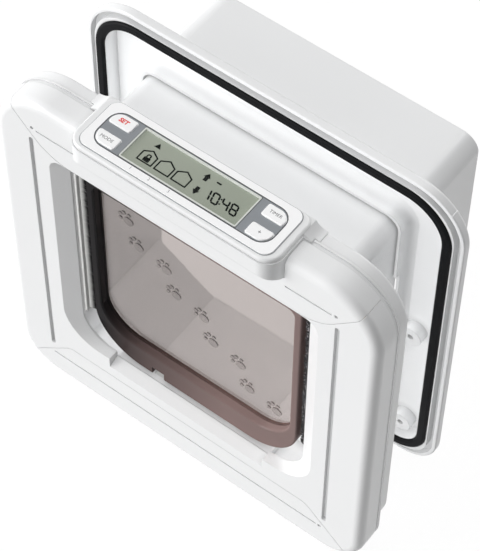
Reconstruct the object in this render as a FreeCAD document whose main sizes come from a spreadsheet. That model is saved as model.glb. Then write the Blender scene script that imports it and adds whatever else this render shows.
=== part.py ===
import FreeCAD, Part
import math
import os

import Sketcher
from FreeCAD import Placement, Rotation, Vector

# Electronic cat flap: an inside frame with a control pod and a clear swinging flap, and an
# outside frame with a weather seal that telescopes on the inside frame's tunnel.
# Millimetres. X runs to the right seen from the room, Y runs out through the door, Z is up.
# The origin is the middle of the flap opening, in the plane of the inside frame's front face.

os.makedirs("parts", exist_ok=True)
doc = FreeCAD.newDocument("cat_flap")
sheet = doc.addObject("Spreadsheet::Sheet", "Sizes")

DIMENSIONS = {
    "throat_half": (71.2, "half the width of the passage"),
    "reveal_wide": (8.3, "how far the window widens towards the room"),
    "rim_wide": (33.0, "width of the inside frame beside the window"),
    "window_top": (75.0, "top of the window above the origin"),
    "window_low": (74.3, "the window's lower corners below the origin"),
    "head_high": (35.0, "height of the inside frame above the window"),
    "foot_high": (48.5, "height of the inside frame below the window"),
    "shell_deep": (14.0, "depth of the front shell"),
    "back_deep": (9.75, "depth of the back shell"),
    "front_round": (5.0, "radius of the shell's front outer edge"),
    "skin": (3.2, "thickness of the front face"),
    "wall": (2.6, "thickness of the side walls"),
    "reveal_deep": (5.5, "depth of the slanted reveal"),
    "groove_wide": (2.6, "width of a side groove"),
    "groove_deep": (2.0, "depth of a side groove"),
    "seam_gap": (0.35, "width of a seam"),
    "seam_bend": (30.0, "radius of the upper seam's bend"),
    "door_gap": (42.6, "room for the door between the two frames"),
    "flap_gap": (6.4, "room beside the flap for its pile strips"),
    "flap_front": (8.0, "front of the flap's rim"),
    "flap_thick": (8.0, "thickness of the flap's rim"),
    "flap_corner": (30.0, "radius of the flap's lower corners"),
    "pane_thick": (2.6, "thickness of the clear pane"),
    "rod_radius": (1.5, "radius of the hinge rod"),
    "barrel_radius": (3.7, "radius of the flap's hinge barrel"),
    "pod_half": (59.5, "half the length of the control pod"),
    "pod_front": (9.5, "how far the pod stands in front of the face"),
    "pod_high": (4.4, "how far the pod's lid stands above the frame"),
    "neck_round": (10.0, "radius of the flare of the pod's feet"),
    "key_travel": (0.8, "travel of a key"),
    "flange_thick": (6.1, "thickness of the outside frame's rim"),
    "recess_deep": (8.4, "depth of the outside frame's recess"),
    "seal_wide": (5.4, "width of the weather seal"),
    "seal_proud": (1.6, "how far the weather seal stands out of the outside frame"),
    "rim_round": (0.8, "radius of the outside frame's front edge"),
    "rim_ditch": (4.4, "depth of the ditch round the weather seal"),
    "joint_wide": (2.0, "width of the shadow joint between the inside frame and the back shell"),
    "joint_deep": (0.8, "depth of that shadow joint"),
    "bore_gap": (0.7, "clearance between the tunnel and its collar"),
    "hood_long": (51.4, "length of the rain hood behind the outside frame"),
}

# What follows from those sizes, as formulas in the sheet.
RELATED = {
    "window_half": ("throat_half + reveal_wide", "half the width of the window at the front face"),
    "frame_half": ("window_half + rim_wide", "half the width of the inside frame"),
    "frame_top": ("window_top + head_high", "top of the inside frame"),
    "frame_low": ("window_low + foot_high", "bottom of the inside frame, below the origin"),
    "corner_high": ("head_high - 2", "outline radius of the upper corners"),
    "corner_low": ("foot_high * 0.5 - 0.25", "outline radius of the lower corners"),
    "sill_back": ("reveal_deep + 1", "depth of the window's rim"),
    "ramp_half": ("throat_half - 21.2", "half the width of the sill ramp"),
    "ramp_front": ("window_low + 7.2", "ramp's front edge, below the origin"),
    "ramp_back": ("window_low + 4.1", "ramp's back edge, below the origin"),
    "line_half": ("window_half + 10.1", "distance of the side grooves from the middle"),
    "groove_top": ("window_top + 7.5", "upper end of the side grooves"),
    "groove_low": ("window_low + 20.7", "lower end of the side grooves, below the origin"),
    "upper_line": ("frame_top - 19.8", "height of the upper cover's lines"),
    "lower_line": ("frame_low - 19.5", "lower cover's line, below the origin"),
    "seam_start": ("window_half - 13.5", "where the upper seam leaves the window's edge"),
    "low_seam": ("window_low + 15.2", "lower seam, below the origin"),
    "low_seam_half": ("window_half - 3.5", "half the length of the lower seam's level part"),
    "post_half": ("frame_half - 14.5", "distance of the shell screws from the middle"),
    "post_high": ("window_top - 13", "height of the upper screws"),
    "post_low": ("window_low + 17.7", "depth of the lower screws below the origin"),
    "post_mid": ("post_high - 73", "height of the middle screws"),
    "back_start": ("shell_deep + 0.25", "front edge of the back shell"),
    "back_end": ("back_start + back_deep", "clamp face of the back shell"),
    "back_low": ("frame_low - 13.8", "bottom of the back shell's deep part, below the origin"),
    "liner_half": ("throat_half + 4.3", "half the width of the tunnel outside"),
    "liner_top": ("window_top + 2", "top of the tunnel"),
    "liner_low": ("throat_low + 3.5", "bottom of the tunnel, below the origin"),
    "liner_start": ("sill_back + 0.2", "front end of the tunnel"),
    "liner_end": ("flange_front + 2.8", "back end of the tunnel"),
    "throat_top": ("window_top - 0.5", "ceiling of the passage"),
    "throat_low": ("window_low + 9.7", "floor of the passage, below the origin"),
    "haunch_start": ("back_end + 3", "front end of the tunnel's slanted lower corners"),
    "flap_half": ("throat_half - flap_gap", "half the width of the flap"),
    "flap_low": ("window_low + 2.9", "lower edge of the flap, below the origin"),
    "pane_half": ("flap_half - 4.6", "half the width of the clear pane"),
    "pane_low": ("flap_low - 17.2", "lower edge of the clear pane, below the origin"),
    "pane_front": ("flap_front + 4.2", "front of the pane"),
    "hinge_high": ("window_top - 7", "height of the hinge"),
    "hinge_back": ("flap_front + flap_thick * 0.5", "distance of the hinge behind the front face"),
    "pod_back": ("back_end + 0.2", "back of the pod"),
    "pod_top": ("frame_top + pod_high", "top of the pod, under the label plate"),
    "pod_seam": ("pod_top - 2.4", "height of the seam round the pod"),
    "neck_half": ("pod_half + 6.8", "half the length of the pod's flared feet"),
    "label_half": ("pod_half - 4.9", "half the length of the label plate"),
    "field_half": ("pod_half - 9.2", "half the length of the dark field"),
    "field_front": ("pod_front - 7", "front edge of the dark field, before the face"),
    "field_back": ("pod_back - 5.1", "back edge of the dark field"),
    "glass_half": ("pod_half - 27", "half the length of the display window"),
    "glass_front": ("field_front - 1.2", "front edge of the display window, before the face"),
    "glass_back": ("field_back - 1.4", "back edge of the display window"),
    "key_deep": ("(field_front + field_back) * 0.324", "depth of a key from front to back"),
    "cell_high": ("window_top + 13", "height of the row of cells"),
    "cell_back": ("(skin + back_end) * 0.5 - 1.6", "distance of the cells behind the front face"),
    "cell_radius": ("(back_end - skin) * 0.5 - 3.15", "radius of a cell"),
    "cell_long": ("frame_half * 0.5 - 6.25", "length of a cell"),
    "seal_front": ("back_end + door_gap", "front of the weather seal"),
    "flange_front": ("seal_front + seal_proud", "door side of the outside frame"),
    "flange_back": ("flange_front + flange_thick", "back of the outside frame's rim"),
    "flange_half": ("frame_half - 1", "half the width of the outside frame"),
    "flange_top": ("frame_top + 2", "top of the outside frame"),
    "flange_low": ("frame_low - 8.4", "bottom of the outside frame, below the origin"),
    "recess_half": ("flange_half - 12.1", "half the width of the recess"),
    "recess_floor": ("flange_front + recess_deep", "floor of the recess"),
    "plate_back": ("recess_floor + 2.5", "outdoor face of the outside frame"),
    "seal_half": ("flange_half - 6.1", "half the width of the weather seal"),
    "bore_half": ("liner_half + bore_gap", "half the width inside the collar"),
    "bore_top": ("liner_top + bore_gap + 0.1", "ceiling inside the collar"),
    "bore_low": ("flange_low - 17", "floor inside the collar, below the origin"),
    "stub_half": ("bore_half + 1.6", "half the width of the collar round the tunnel"),
    "stub_top": ("bore_top + 1.7", "top of the collar"),
    "stub_low": ("flange_low - 14.4", "bottom of the collar, below the origin"),
    "stub_front": ("flange_front - 0.2", "front edge of the collar"),
    "hood_half": ("bore_half + 3.3", "half the width of the hood"),
    "hood_end": ("plate_back + hood_long", "outdoor end of the hood"),
    "boss_half": ("stub_half + 10.2", "distance of the screw bosses from the middle"),
}
rows = [(name, "%g" % number, meaning) for name, (number, meaning) in DIMENSIONS.items()]
rows += [(name, "=" + formula, meaning) for name, (formula, meaning) in RELATED.items()]
for row, (name, content, meaning) in enumerate(rows, start=1):
    sheet.set("A%d" % row, meaning)
    sheet.setAlias("B%d" % row, name)
for row, (name, content, meaning) in enumerate(rows, start=1):
    sheet.set("B%d" % row, content)
doc.recompute()


class Size:
    """A length that knows both its value and the sheet formula that gives it."""

    def __init__(self, value, text):
        self.value = value
        self.text = text

    def __add__(self, other):
        other = as_size(other)
        return Size(self.value + other.value, "(%s + %s)" % (self.text, other.text))

    def __sub__(self, other):
        other = as_size(other)
        return Size(self.value - other.value, "(%s - %s)" % (self.text, other.text))

    def __mul__(self, factor):
        return Size(self.value * factor, "(%s * %s)" % (self.text, repr(float(factor))))

    def __neg__(self):
        return Size(-self.value, "(0 - %s)" % self.text)


def as_size(item):
    """Wrap a plain number, so that sizes and numbers mix."""
    if isinstance(item, Size):
        return item
    return Size(float(item), "(0 - %s)" % repr(-float(item)) if item < 0 else repr(float(item)))


def S(name):
    """The sheet's size of that name."""
    return Size(float(sheet.get(name)), "Sizes." + name)


def bind(item, prop, size):
    """Tie a property to the sheet."""
    size = as_size(size)
    item.setExpression(prop, size.text)


def new_body(label):
    body = doc.addObject("PartDesign::Body", label)
    body.Label = label
    return body


def sketch_on(body, role, height):
    """A sketch on one of the body's own origin planes, moved along the plane's normal."""
    plane = next(f for f in body.Origin.OriginFeatures if f.Role == role)
    sk = body.newObject("Sketcher::SketchObject", "Sketch")
    sk.AttachmentSupport = [(plane, "")]
    sk.MapMode = "FlatFace"
    height = as_size(height)
    sk.AttachmentOffset = Placement(Vector(0, 0, height.value), Rotation())
    bind(sk, "AttachmentOffset.Base.z", height)
    return sk


def pin(sk, geo, point, across, up):
    """Hold one point of a sketch at a place given by two sizes."""
    for kind, size in (("DistanceX", as_size(across)), ("DistanceY", as_size(up))):
        if abs(size.value) < 1e-9:
            axis = -2 if kind == "DistanceX" else -1
            sk.addConstraint(Sketcher.Constraint("PointOnObject", geo, point, axis))
        elif size.value > 0:
            index = sk.addConstraint(Sketcher.Constraint(kind, -1, 1, geo, point, size.value))
            sk.setExpression("Constraints[%d]" % index, size.text)
        else:
            index = sk.addConstraint(Sketcher.Constraint(kind, geo, point, -1, 1, -size.value))
            sk.setExpression("Constraints[%d]" % index, (-size).text)


def draw_disc(sk, across, up, radius):
    """A circle held by its centre and radius."""
    across, up, radius = as_size(across), as_size(up), as_size(radius)
    circle = Part.Circle(Vector(across.value, up.value, 0), Vector(0, 0, 1), radius.value)
    geo = sk.addGeometry(circle, False)
    index = sk.addConstraint(Sketcher.Constraint("Radius", geo, radius.value))
    sk.setExpression("Constraints[%d]" % index, radius.text)
    pin(sk, geo, 3, across, up)


def draw_path(sk, points):
    """A closed outline of straight lines through points given as pairs of sizes."""
    points = [(as_size(a), as_size(b)) for a, b in points]
    first = None
    for k, (a, b) in enumerate(points):
        c, d = points[(k + 1) % len(points)]
        line = Part.LineSegment(Vector(a.value, b.value, 0), Vector(c.value, d.value, 0))
        geo = sk.addGeometry(line, False)
        first = geo if first is None else first
        if k:
            sk.addConstraint(Sketcher.Constraint("Coincident", geo - 1, 2, geo, 1))
        pin(sk, geo, 1, a, b)
    sk.addConstraint(Sketcher.Constraint("Coincident", geo, 2, first, 1))


def draw_rounded(sk, left, right, low, high, radii):
    """A rectangle with rounded corners; radii run lower left, lower right, upper right, upper left."""
    left, right, low, high = as_size(left), as_size(right), as_size(low), as_size(high)
    radii = [as_size(r) for r in (radii if isinstance(radii, (list, tuple)) else [radii] * 4)]
    bl, br, tr, tl = [r.value for r in radii]
    x0, x1, z0, z1 = left.value, right.value, low.value, high.value
    sides = [
        ((x0 + bl, z0), (x1 - br, z0)),
        ((x1, z0 + br), (x1, z1 - tr)),
        ((x1 - tr, z1), (x0 + tl, z1)),
        ((x0, z1 - tl), (x0, z0 + bl)),
    ]
    centres = [
        (x1 - br, z0 + br, br, -90, 0, radii[1]),
        (x1 - tr, z1 - tr, tr, 0, 90, radii[2]),
        (x0 + tl, z1 - tl, tl, 90, 180, radii[3]),
        (x0 + bl, z0 + bl, bl, 180, 270, radii[0]),
    ]
    lines = []
    arcs = []
    for (a, b), (cx, cz, r, start, stop, _) in zip(sides, centres):
        lines.append(sk.addGeometry(Part.LineSegment(Vector(*a, 0), Vector(*b, 0)), False))
        circle = Part.Circle(Vector(cx, cz, 0), Vector(0, 0, 1), r)
        arc = Part.ArcOfCircle(circle, math.radians(start), math.radians(stop))
        arcs.append(sk.addGeometry(arc, False))
    for k in range(4):
        sk.addConstraint(Sketcher.Constraint("Horizontal" if k % 2 == 0 else "Vertical", lines[k]))
        sk.addConstraint(Sketcher.Constraint("Tangent", lines[k], 2, arcs[k], 1))
        sk.addConstraint(Sketcher.Constraint("Tangent", arcs[k], 2, lines[(k + 1) % 4], 1))
        index = sk.addConstraint(Sketcher.Constraint("Radius", arcs[k], centres[k][2]))
        sk.setExpression("Constraints[%d]" % index, centres[k][5].text)
    for line, kind, size in (
        (lines[0], "DistanceY", low),
        (lines[1], "DistanceX", right),
        (lines[2], "DistanceY", high),
        (lines[3], "DistanceX", left),
    ):
        if size.value > 0:
            index = sk.addConstraint(Sketcher.Constraint(kind, -1, 1, line, 1, size.value))
            sk.setExpression("Constraints[%d]" % index, size.text)
        else:
            index = sk.addConstraint(Sketcher.Constraint(kind, line, 1, -1, 1, -size.value))
            sk.setExpression("Constraints[%d]" % index, (-size).text)


carvings = []


def grow(body, sk, length, flip):
    pad = body.newObject("PartDesign::Pad", "Pad")
    pad.Profile = sk
    pad.Reversed = flip
    bind(pad, "Length", length)
    body.Tip = pad
    return pad


def carve(body, sk, length, flip):
    before = body.Tip
    pocket = body.newObject("PartDesign::Pocket", "Pocket")
    pocket.Profile = sk
    pocket.Reversed = flip
    bind(pocket, "Length", length)
    body.Tip = pocket
    carvings.append((before, pocket))
    return pocket


def slab(body, start, end, *shapes):
    """Material between two depths; each shape is a drawing function and its sizes."""
    sk = sketch_on(body, "XZ_Plane", -as_size(start))
    for draw, *sizes in shapes:
        draw(sk, *sizes)
    return grow(body, sk, as_size(end) - start, True)


def hollow(body, start, end, *shapes):
    """Material taken away between two depths."""
    sk = sketch_on(body, "XZ_Plane", -as_size(start))
    for draw, *sizes in shapes:
        draw(sk, *sizes)
    return carve(body, sk, as_size(end) - start, False)


def tower(body, low, high, *shapes):
    """Material between two heights."""
    sk = sketch_on(body, "XY_Plane", low)
    for draw, *sizes in shapes:
        draw(sk, *sizes)
    return grow(body, sk, as_size(high) - low, False)


def well(body, low, high, *shapes):
    """Material taken away between two heights."""
    sk = sketch_on(body, "XY_Plane", low)
    for draw, *sizes in shapes:
        draw(sk, *sizes)
    return carve(body, sk, as_size(high) - low, True)


def beam(body, left, right, *shapes):
    """Material between two places across the width, from a drawing in depth and height."""
    sk = sketch_on(body, "YZ_Plane", left)
    for draw, *sizes in shapes:
        draw(sk, *sizes)
    return grow(body, sk, as_size(right) - left, False)


def slice_off(body, left, right, *shapes):
    """Material taken away between two places across the width."""
    sk = sketch_on(body, "YZ_Plane", left)
    for draw, *sizes in shapes:
        draw(sk, *sizes)
    return carve(body, sk, as_size(right) - left, True)


def lofted(body, kind, sections):
    """A loft through drawings at several depths, added or taken away."""
    before = body.Tip
    sketches = []
    for depth, draw, *sizes in sections:
        sk = sketch_on(body, "XZ_Plane", -as_size(depth))
        draw(sk, *sizes)
        sketches.append(sk)
    loft = body.newObject(kind, "Loft")
    loft.Profile = sketches[0]
    loft.Sections = sketches[1:]
    loft.Ruled = False
    body.Tip = loft
    if kind.endswith("SubtractiveLoft"):
        carvings.append((before, loft))
    return loft


def round_off(body, radius, wanted):
    """Round the edges of the body so far that the test picks out."""
    doc.recompute()
    base = body.Tip
    names = ["Edge%d" % n for n, edge in enumerate(base.Shape.Edges, start=1) if wanted(edge.BoundBox)]
    fillet = body.newObject("PartDesign::Fillet", "Fillet")
    fillet.Base = (base, names)
    bind(fillet, "Radius", radius)
    body.Tip = fillet
    return fillet


def label(item, name):
    item.Label = name
    nodes[name] = item
    return item


nodes = {}
EDGE = 0.02


def frame_outline(inset):
    """The inside frame's outline, drawn in by an inset."""
    half = S("frame_half") - inset
    return (
        draw_rounded,
        -half,
        half,
        -(S("frame_low") - inset),
        S("frame_top") - inset,
        [S("corner_low") - inset] * 2 + [S("corner_high") - inset] * 2,
    )


# Front shell: one dished plate, later parted into the upper cover, the frame and the lower cover.
window_half = S("window_half")
throat_half = S("throat_half")
shell = new_body("front_shell")
slab(shell, 0, S("shell_deep"), frame_outline(0))
round_off(
    shell,
    S("front_round"),
    lambda box: box.YMax < EDGE,
)
lofted(
    shell,
    "PartDesign::SubtractiveLoft",
    [
        (0, draw_rounded, -window_half, window_half, -S("window_low"), S("window_top"), [22, 22, 8, 8]),
        (
            S("reveal_deep"),
            draw_rounded,
            -throat_half,
            throat_half,
            -S("window_low"),
            S("window_top"),
            [20, 20, 6, 6],
        ),
    ],
)
hollow(
    shell,
    S("reveal_deep"),
    S("shell_deep"),
    (draw_rounded, -throat_half, throat_half, -S("window_low"), S("window_top"), [20, 20, 6, 6]),
)
hollow(shell, S("sill_back"), S("shell_deep"), frame_outline(S("wall")))
hollow(
    shell,
    S("skin"),
    S("sill_back"),
    frame_outline(S("wall")),
    (
        draw_rounded,
        -(S("window_half") + 3.5),
        S("window_half") + 3.5,
        -(S("ramp_front") + 3.0),
        S("window_top") + 3.5,
        [14, 14, 8, 8],
    ),
)
slice_off(
    shell,
    -S("ramp_half"),
    S("ramp_half"),
    (
        draw_path,
        [
            (-1, -(S("window_low") - 4)),
            (-1, -(S("ramp_front") + 0.5)),
            (S("sill_back") + 0.1, -S("ramp_back")),
            (S("sill_back") + 0.1, -(S("window_low") - 4)),
        ],
    ),
)
for side in (-1, 1):
    middle = S("line_half") * side
    hollow(
        shell,
        0,
        S("groove_deep"),
        (
            draw_rounded,
            middle - S("groove_wide") * 0.5,
            middle + S("groove_wide") * 0.5,
            -S("groove_low"),
            S("groove_top"),
            S("groove_wide") * 0.46,
        ),
    )
upper_line = S("upper_line")
lower_line = S("lower_line")
line_end = S("line_half") - 3.6
line_start = S("pod_half") + 0.5
for left, right in ((-line_end, -line_start), (line_start, line_end)):
    hollow(shell, 0, 0.7, (draw_rounded, left, right, upper_line - 0.5, upper_line + 0.5, 0.4))
hollow(
    shell,
    0,
    0.7,
    (draw_rounded, -S("line_half"), S("line_half") - 4.5, -lower_line - 0.5, -lower_line + 0.5, 0.4),
)
hollow(
    shell,
    0,
    1.6,
    (draw_disc, -(S("line_half") - 1.2), upper_line + 0.6, 1.0),
    (draw_disc, S("line_half") - 1.2, upper_line + 0.6, 1.0),
    (draw_disc, S("line_half") - 2.4, -lower_line, 1.0),
)
# Lower half of the control pod: grows out of the shell's upper edge and overhangs its face.
pod_half = S("pod_half")
pod_front = S("pod_front")
seam = S("pod_seam")
tower(
    shell,
    S("pod_top") - 30.4,
    seam - 0.2,
    (draw_rounded, -pod_half, pod_half, -pod_front, S("shell_deep"), [9, 9, 0.5, 0.5]),
)
SKIRT_STEPS = 10
skirt = []
for step in range(SKIRT_STEPS + 1):
    share = step / SKIRT_STEPS
    reach = 0.5 + 0.5 * math.cos(math.pi * share)
    skirt.append((-pod_front * reach, S("pod_top") - 12.4 - 6.0 * share))
slice_off(
    shell,
    -(pod_half + 5),
    pod_half + 5,
    (
        draw_path,
        [(-(pod_front + 3), S("pod_top") - 12.4)]
        + skirt
        + [(0, S("pod_top") - 34.4), (-(pod_front + 3), S("pod_top") - 34.4)],
    ),
)
# The hollow is stepped towards its ends, so that the wall follows the pod's round corners.
for end_wall, front_wall, floor_drop in ((6.4, 2.5, 11.8), (4.2, 3.6, 12.4), (2.6, 5.5, 13.2)):
    slice_off(
        shell,
        -(pod_half - end_wall),
        pod_half - end_wall,
        (
            draw_path,
            [
                (-(pod_front - front_wall), seam + 1),
                (-(pod_front - front_wall), S("pod_top") - floor_drop),
                (-1.0, S("pod_top") - 14.6),
                (0.8, S("pod_top") - 15.8),
                (S("skin"), S("pod_top") - 17.0),
                (S("skin"), S("pod_top") - 30.5),
                (S("shell_deep") + 1, S("pod_top") - 30.5),
                (S("shell_deep") + 1, seam + 1),
            ],
        ),
    )
slice_off(
    shell,
    -(pod_half + 0.1),
    pod_half + 0.1,
    (
        draw_path,
        [
            (S("skin"), S("pod_top") - 10.4),
            (S("skin"), S("pod_top") - 30.5),
            (S("shell_deep") + 1, S("pod_top") - 30.5),
            (S("shell_deep") + 1, S("pod_top") - 10.4),
        ],
    ),
)
SCREW_PLACES = [(S("post_half") * side, z) for z in (S("post_high"), -S("post_low")) for side in (-1, 1)]
slab(shell, S("skin") - 0.4, S("shell_deep"), *[(draw_disc, x, z, 3.6) for x, z in SCREW_PLACES])
hollow(shell, 5.5, S("shell_deep"), *[(draw_disc, x, z, 1.4) for x, z in SCREW_PLACES])


def upper_seam(shift):
    """The outline of everything above the upper seam, moved up by a shift."""
    bend = S("seam_bend")
    start = S("seam_start")
    base = S("window_top") + shift
    right = [(start, base)]
    for step in range(6, 49, 6):
        turn = math.radians(step)
        right.append((start + bend * math.sin(turn), base + bend * (1 - math.cos(turn))))
    right += [(start + 35.0, base + 23.4), (start + 37.4, base + 28.0), (start + 39.0, base + 34.0)]
    right += [(start + 40.0, base + 90.0)]
    left = [(-across, up) for across, up in reversed(right)]
    return (draw_path, right + left)


def lower_seam(shift):
    """The outline of everything below the lower seam, moved down by a shift."""
    start = S("low_seam_half")
    base = -S("low_seam") - shift
    right = [
        (start + 64.0, base - 90.0),
        (start + 64.0, base - 60.0),
        (start + 24.0, base - 20.5),
        (start + 4.5, base - 2.6),
        (start + 2.4, base - 0.9),
        (start, base),
    ]
    left = [(-across, up) for across, up in reversed(right)]
    return (draw_path, right + left)


tools = {}
for name, outline in (
    ("above_seam", upper_seam(S("seam_gap"))),
    ("above_cut", upper_seam(0)),
    ("below_seam", lower_seam(S("seam_gap"))),
    ("below_cut", lower_seam(0)),
):
    tools[name] = new_body(name)
    slab(tools[name], -30, 40, outline)


def common(name, base, tool):
    item = doc.addObject("Part::Common", name)
    item.Base = base
    item.Tool = tool
    return item


def cut(name, base, tool):
    item = doc.addObject("Part::Cut", name)
    item.Base = base
    item.Tool = tool
    return item


def fuse(name, pieces):
    item = doc.addObject("Part::MultiFuse", name)
    item.Shapes = pieces
    item.Refine = True
    return item


label(cut("frame_middle", cut("frame_part", shell, tools["above_cut"]), tools["below_cut"]), "inside_frame")
label(common("lower_part", shell, tools["below_seam"]), "lower_cover")
label(common("upper_part", shell, tools["above_seam"]), "upper_cover")

# Upper half of the control pod: a lid with flared feet on the back shell.
glass_half = S("glass_half")
glass_front = S("glass_front")
glass_back = S("glass_back")
field_half = S("field_half")
field_front = S("field_front")
field_back = S("field_back")
key_near = (-(field_front - 1.1), -(field_front - 1.1) + S("key_deep"))
key_far = (field_back - 1.1 - S("key_deep"), field_back - 1.1)
key_left = (-(field_half - 0.8), -(glass_half + 4.6))
key_right = (glass_half + 5.3, field_half - 0.7)
KEY_SPOTS = {
    "key_set": (*key_left, *key_far, [1, 1, 1, 5.5]),
    "key_mode": (*key_left, *key_near, [5.5, 1, 1, 1]),
    "key_timer": (*key_right, *key_far, [1, 1, 5.5, 1]),
    "key_plus": (*key_right, *key_near, [1, 5.5, 1, 1]),
}


def key_outline(spot, grow_by):
    left, right, low, high, radii = KEY_SPOTS[spot]
    return (
        draw_rounded,
        left - grow_by,
        right + grow_by,
        low - grow_by,
        high + grow_by,
        [r + grow_by for r in radii],
    )



def around_glass(gap):
    """The display window's size, grown by a gap."""
    return (-(glass_half + gap), glass_half + gap, -(glass_front + gap), glass_back + gap)


pod_back = S("pod_back")
housing = new_body("pod_lid")
tower(
    housing,
    seam,
    S("pod_top"),
    (draw_rounded, -(pod_half - 0.6), pod_half - 0.6, -(pod_front - 0.6), pod_back, [8.4, 8.4, 6, 6]),
)
pod_top_z = S("pod_top").value
round_off(housing, 1.3, lambda box: box.ZMin > pod_top_z - EDGE)


def flared_foot(low_turn, low):
    """The foot's outline: straight below, with a hollow curve up to the lid at both ends."""
    bend = S("neck_round")
    middle = S("frame_top") - 0.2 + bend
    right = [(S("neck_half") - bend * math.cos(math.radians(low_turn)), S("frame_top") + low)]
    for step in range(9):
        turn = math.radians(low_turn + (42 - low_turn) * step / 8)
        right.append((S("neck_half") - bend * math.cos(turn), middle - bend * math.sin(turn)))
    left = [(-across, up) for across, up in reversed(right)]
    return (draw_path, right + left)


slab(housing, S("back_start") + 0.4, pod_back, flared_foot(74, 0.15))
slab(housing, S("back_start") + 3.3, pod_back, flared_foot(88, -0.4))
well(
    housing,
    S("frame_top") - 1,
    S("pod_top") - 2,
    (draw_rounded, -(pod_half - 3), pod_half - 3, -(pod_front - 2.9), pod_back - 2.4, 2),
)
well(
    housing,
    S("pod_top") - 4,
    S("pod_top") + 2,
    *[key_outline(spot, 0.35) for spot in KEY_SPOTS],
    (draw_rounded, *around_glass(0.9), 0.5),
)
# Under a key lie its foot, its travel, the switch and then the board.
board_top = S("pod_top") - 7.5 - S("key_travel")
post_line = (field_back - field_front) * 0.5
tower(
    housing,
    board_top,
    S("pod_top") - 1.5,
    (draw_disc, -(glass_half + 2.7), post_line, 1.0),
    (draw_disc, glass_half + 2.9, post_line, 1.1),
    (draw_disc, -(pod_half - 5.9), post_line, 1.5),
    (draw_disc, pod_half - 5.9, post_line, 1.5),
)
label(housing, "pod_lid")

# Panel: white label plate, dark field, display and four keys.
plate = new_body("label_plate")
tower(
    plate,
    S("pod_top"),
    S("pod_top") + 0.6,
    (draw_rounded, -S("label_half"), S("label_half"), -(pod_front - 3.0), pod_back - 1.2, 5),
    (draw_rounded, -(field_half + 0.1), field_half + 0.1, -(field_front + 0.1), field_back + 0.1, 7.1),
)
label(plate, "label_plate")
field = new_body("panel_field")
tower(
    field,
    S("pod_top"),
    S("pod_top") + 0.6,
    (draw_rounded, -field_half, field_half, -field_front, field_back, 7),
    *[key_outline(spot, 0.35) for spot in KEY_SPOTS],
    (draw_rounded, *around_glass(0.85), 0.8),
)
label(field, "panel_field")
bezel = new_body("display_bezel")
tower(
    bezel,
    S("pod_top") - 0.4,
    S("pod_top") + 0.9,
    (draw_rounded, *around_glass(0.75), 0.7),
    (draw_rounded, *around_glass(0.05), 0.4),
)
label(bezel, "display_bezel")
lens = new_body("display_window")
tower(lens, S("pod_top") - 0.4, S("pod_top") + 0.5, (draw_rounded, *around_glass(0), 0.4))
label(lens, "display_window")
face = new_body("display_cell")
tower(face, S("pod_top") - 3.0, S("pod_top") - 0.5, (draw_rounded, *around_glass(0.7), 0.3))
label(face, "display_cell")
for spot, (left, right, low, high, radii) in KEY_SPOTS.items():
    cap = new_body(spot)
    base = S("pod_top") - 2.8
    tower(cap, base, S("pod_top") + 1.2, key_outline(spot, 0))
    tower(cap, base, base + 0.6, (draw_rounded, left - 1, right + 1, low - 1, high + 1, 1.2))
    middle = ((left + right) * 0.5, (low + high) * 0.5)
    tower(cap, base - 0.4, base + 0.3, (draw_disc, middle[0], middle[1], 2.0))
    top_z = (S("pod_top") + 1.2).value
    round_off(cap, 0.4, lambda box: box.ZMin > top_z - EDGE)
    label(cap, spot)

# Circuit board with its four switches, hung from the pod's posts.
board = new_body("circuit_board")
board_half = pod_half - 4.5
board_back = pod_back - 4.2
tower(
    board,
    board_top - 1.6,
    board_top,
    (draw_rounded, -board_half, board_half, -(pod_front - 4), board_back, 1.5),
)
tower(
    board,
    board_top - 3.4,
    board_top - 1.6,
    (draw_rounded, -12, 8, post_line - 7, post_line + 7, 0.3),
    (draw_rounded, 20, 30, post_line - 4, post_line + 4, 0.3),
)
tower(
    board,
    board_top,
    board_top + 2.2,
    (draw_rounded, -30, 30, board_back - 3.2, board_back - 0.4, 0.3),
    (draw_rounded, -8, 8, -(pod_front - 4.5), -(pod_front - 8.5), 0.3),
)
label(board, "circuit_board")
for number, spot in enumerate(KEY_SPOTS, start=1):
    left, right, low, high, radii = KEY_SPOTS[spot]
    mx = (left + right) * 0.5
    my = (low + high) * 0.5
    switch = new_body("key_switch_%d" % number)
    tower(switch, board_top, board_top + 3.3, (draw_rounded, mx - 3, mx + 3, my - 3, my + 3, 0.4))
    tower(switch, board_top + 3.3, board_top + 4.1, (draw_disc, mx, my, 1.7))
    label(switch, "key_switch_%d" % number)

# Batteries: four cells in a row in a tray, with a spring at each end.
cell_radius = S("cell_radius")
cell_high = S("cell_high")
cell_back = S("cell_back")
tray = new_body("battery_tray")
row_half = S("cell_long") * 2 + 2.2
beam(
    tray,
    -(row_half + 1.2),
    row_half + 1.2,
    (
        draw_path,
        [
            (cell_back - cell_radius - 1.3, cell_high),
            (cell_back - cell_radius - 1.3, cell_high - cell_radius - 1.4),
            (cell_back + cell_radius + 1.3, cell_high - cell_radius - 1.4),
            (cell_back + cell_radius + 1.3, cell_high),
        ],
    ),
)
slice_off(
    tray,
    -row_half,
    row_half,
    (
        draw_path,
        [
            (cell_back - cell_radius - 0.1, cell_high + 1),
            (cell_back - cell_radius - 0.1, cell_high - cell_radius - 0.1),
            (cell_back + cell_radius + 0.1, cell_high - cell_radius - 0.1),
            (cell_back + cell_radius + 0.1, cell_high + 1),
        ],
    ),
)
label(tray, "battery_tray")
for number in range(4):
    battery = new_body("cell_%d" % (number + 1))
    start = S("cell_long") * (number - 2) + 0.05
    shoulder = start + S("cell_long") - 1.2
    beam(battery, start, shoulder, (draw_disc, cell_back, cell_high, cell_radius))
    beam(battery, shoulder, shoulder + 1.1, (draw_disc, cell_back, cell_high, 2.7))
    label(battery, "cell_%d" % (number + 1))

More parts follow.
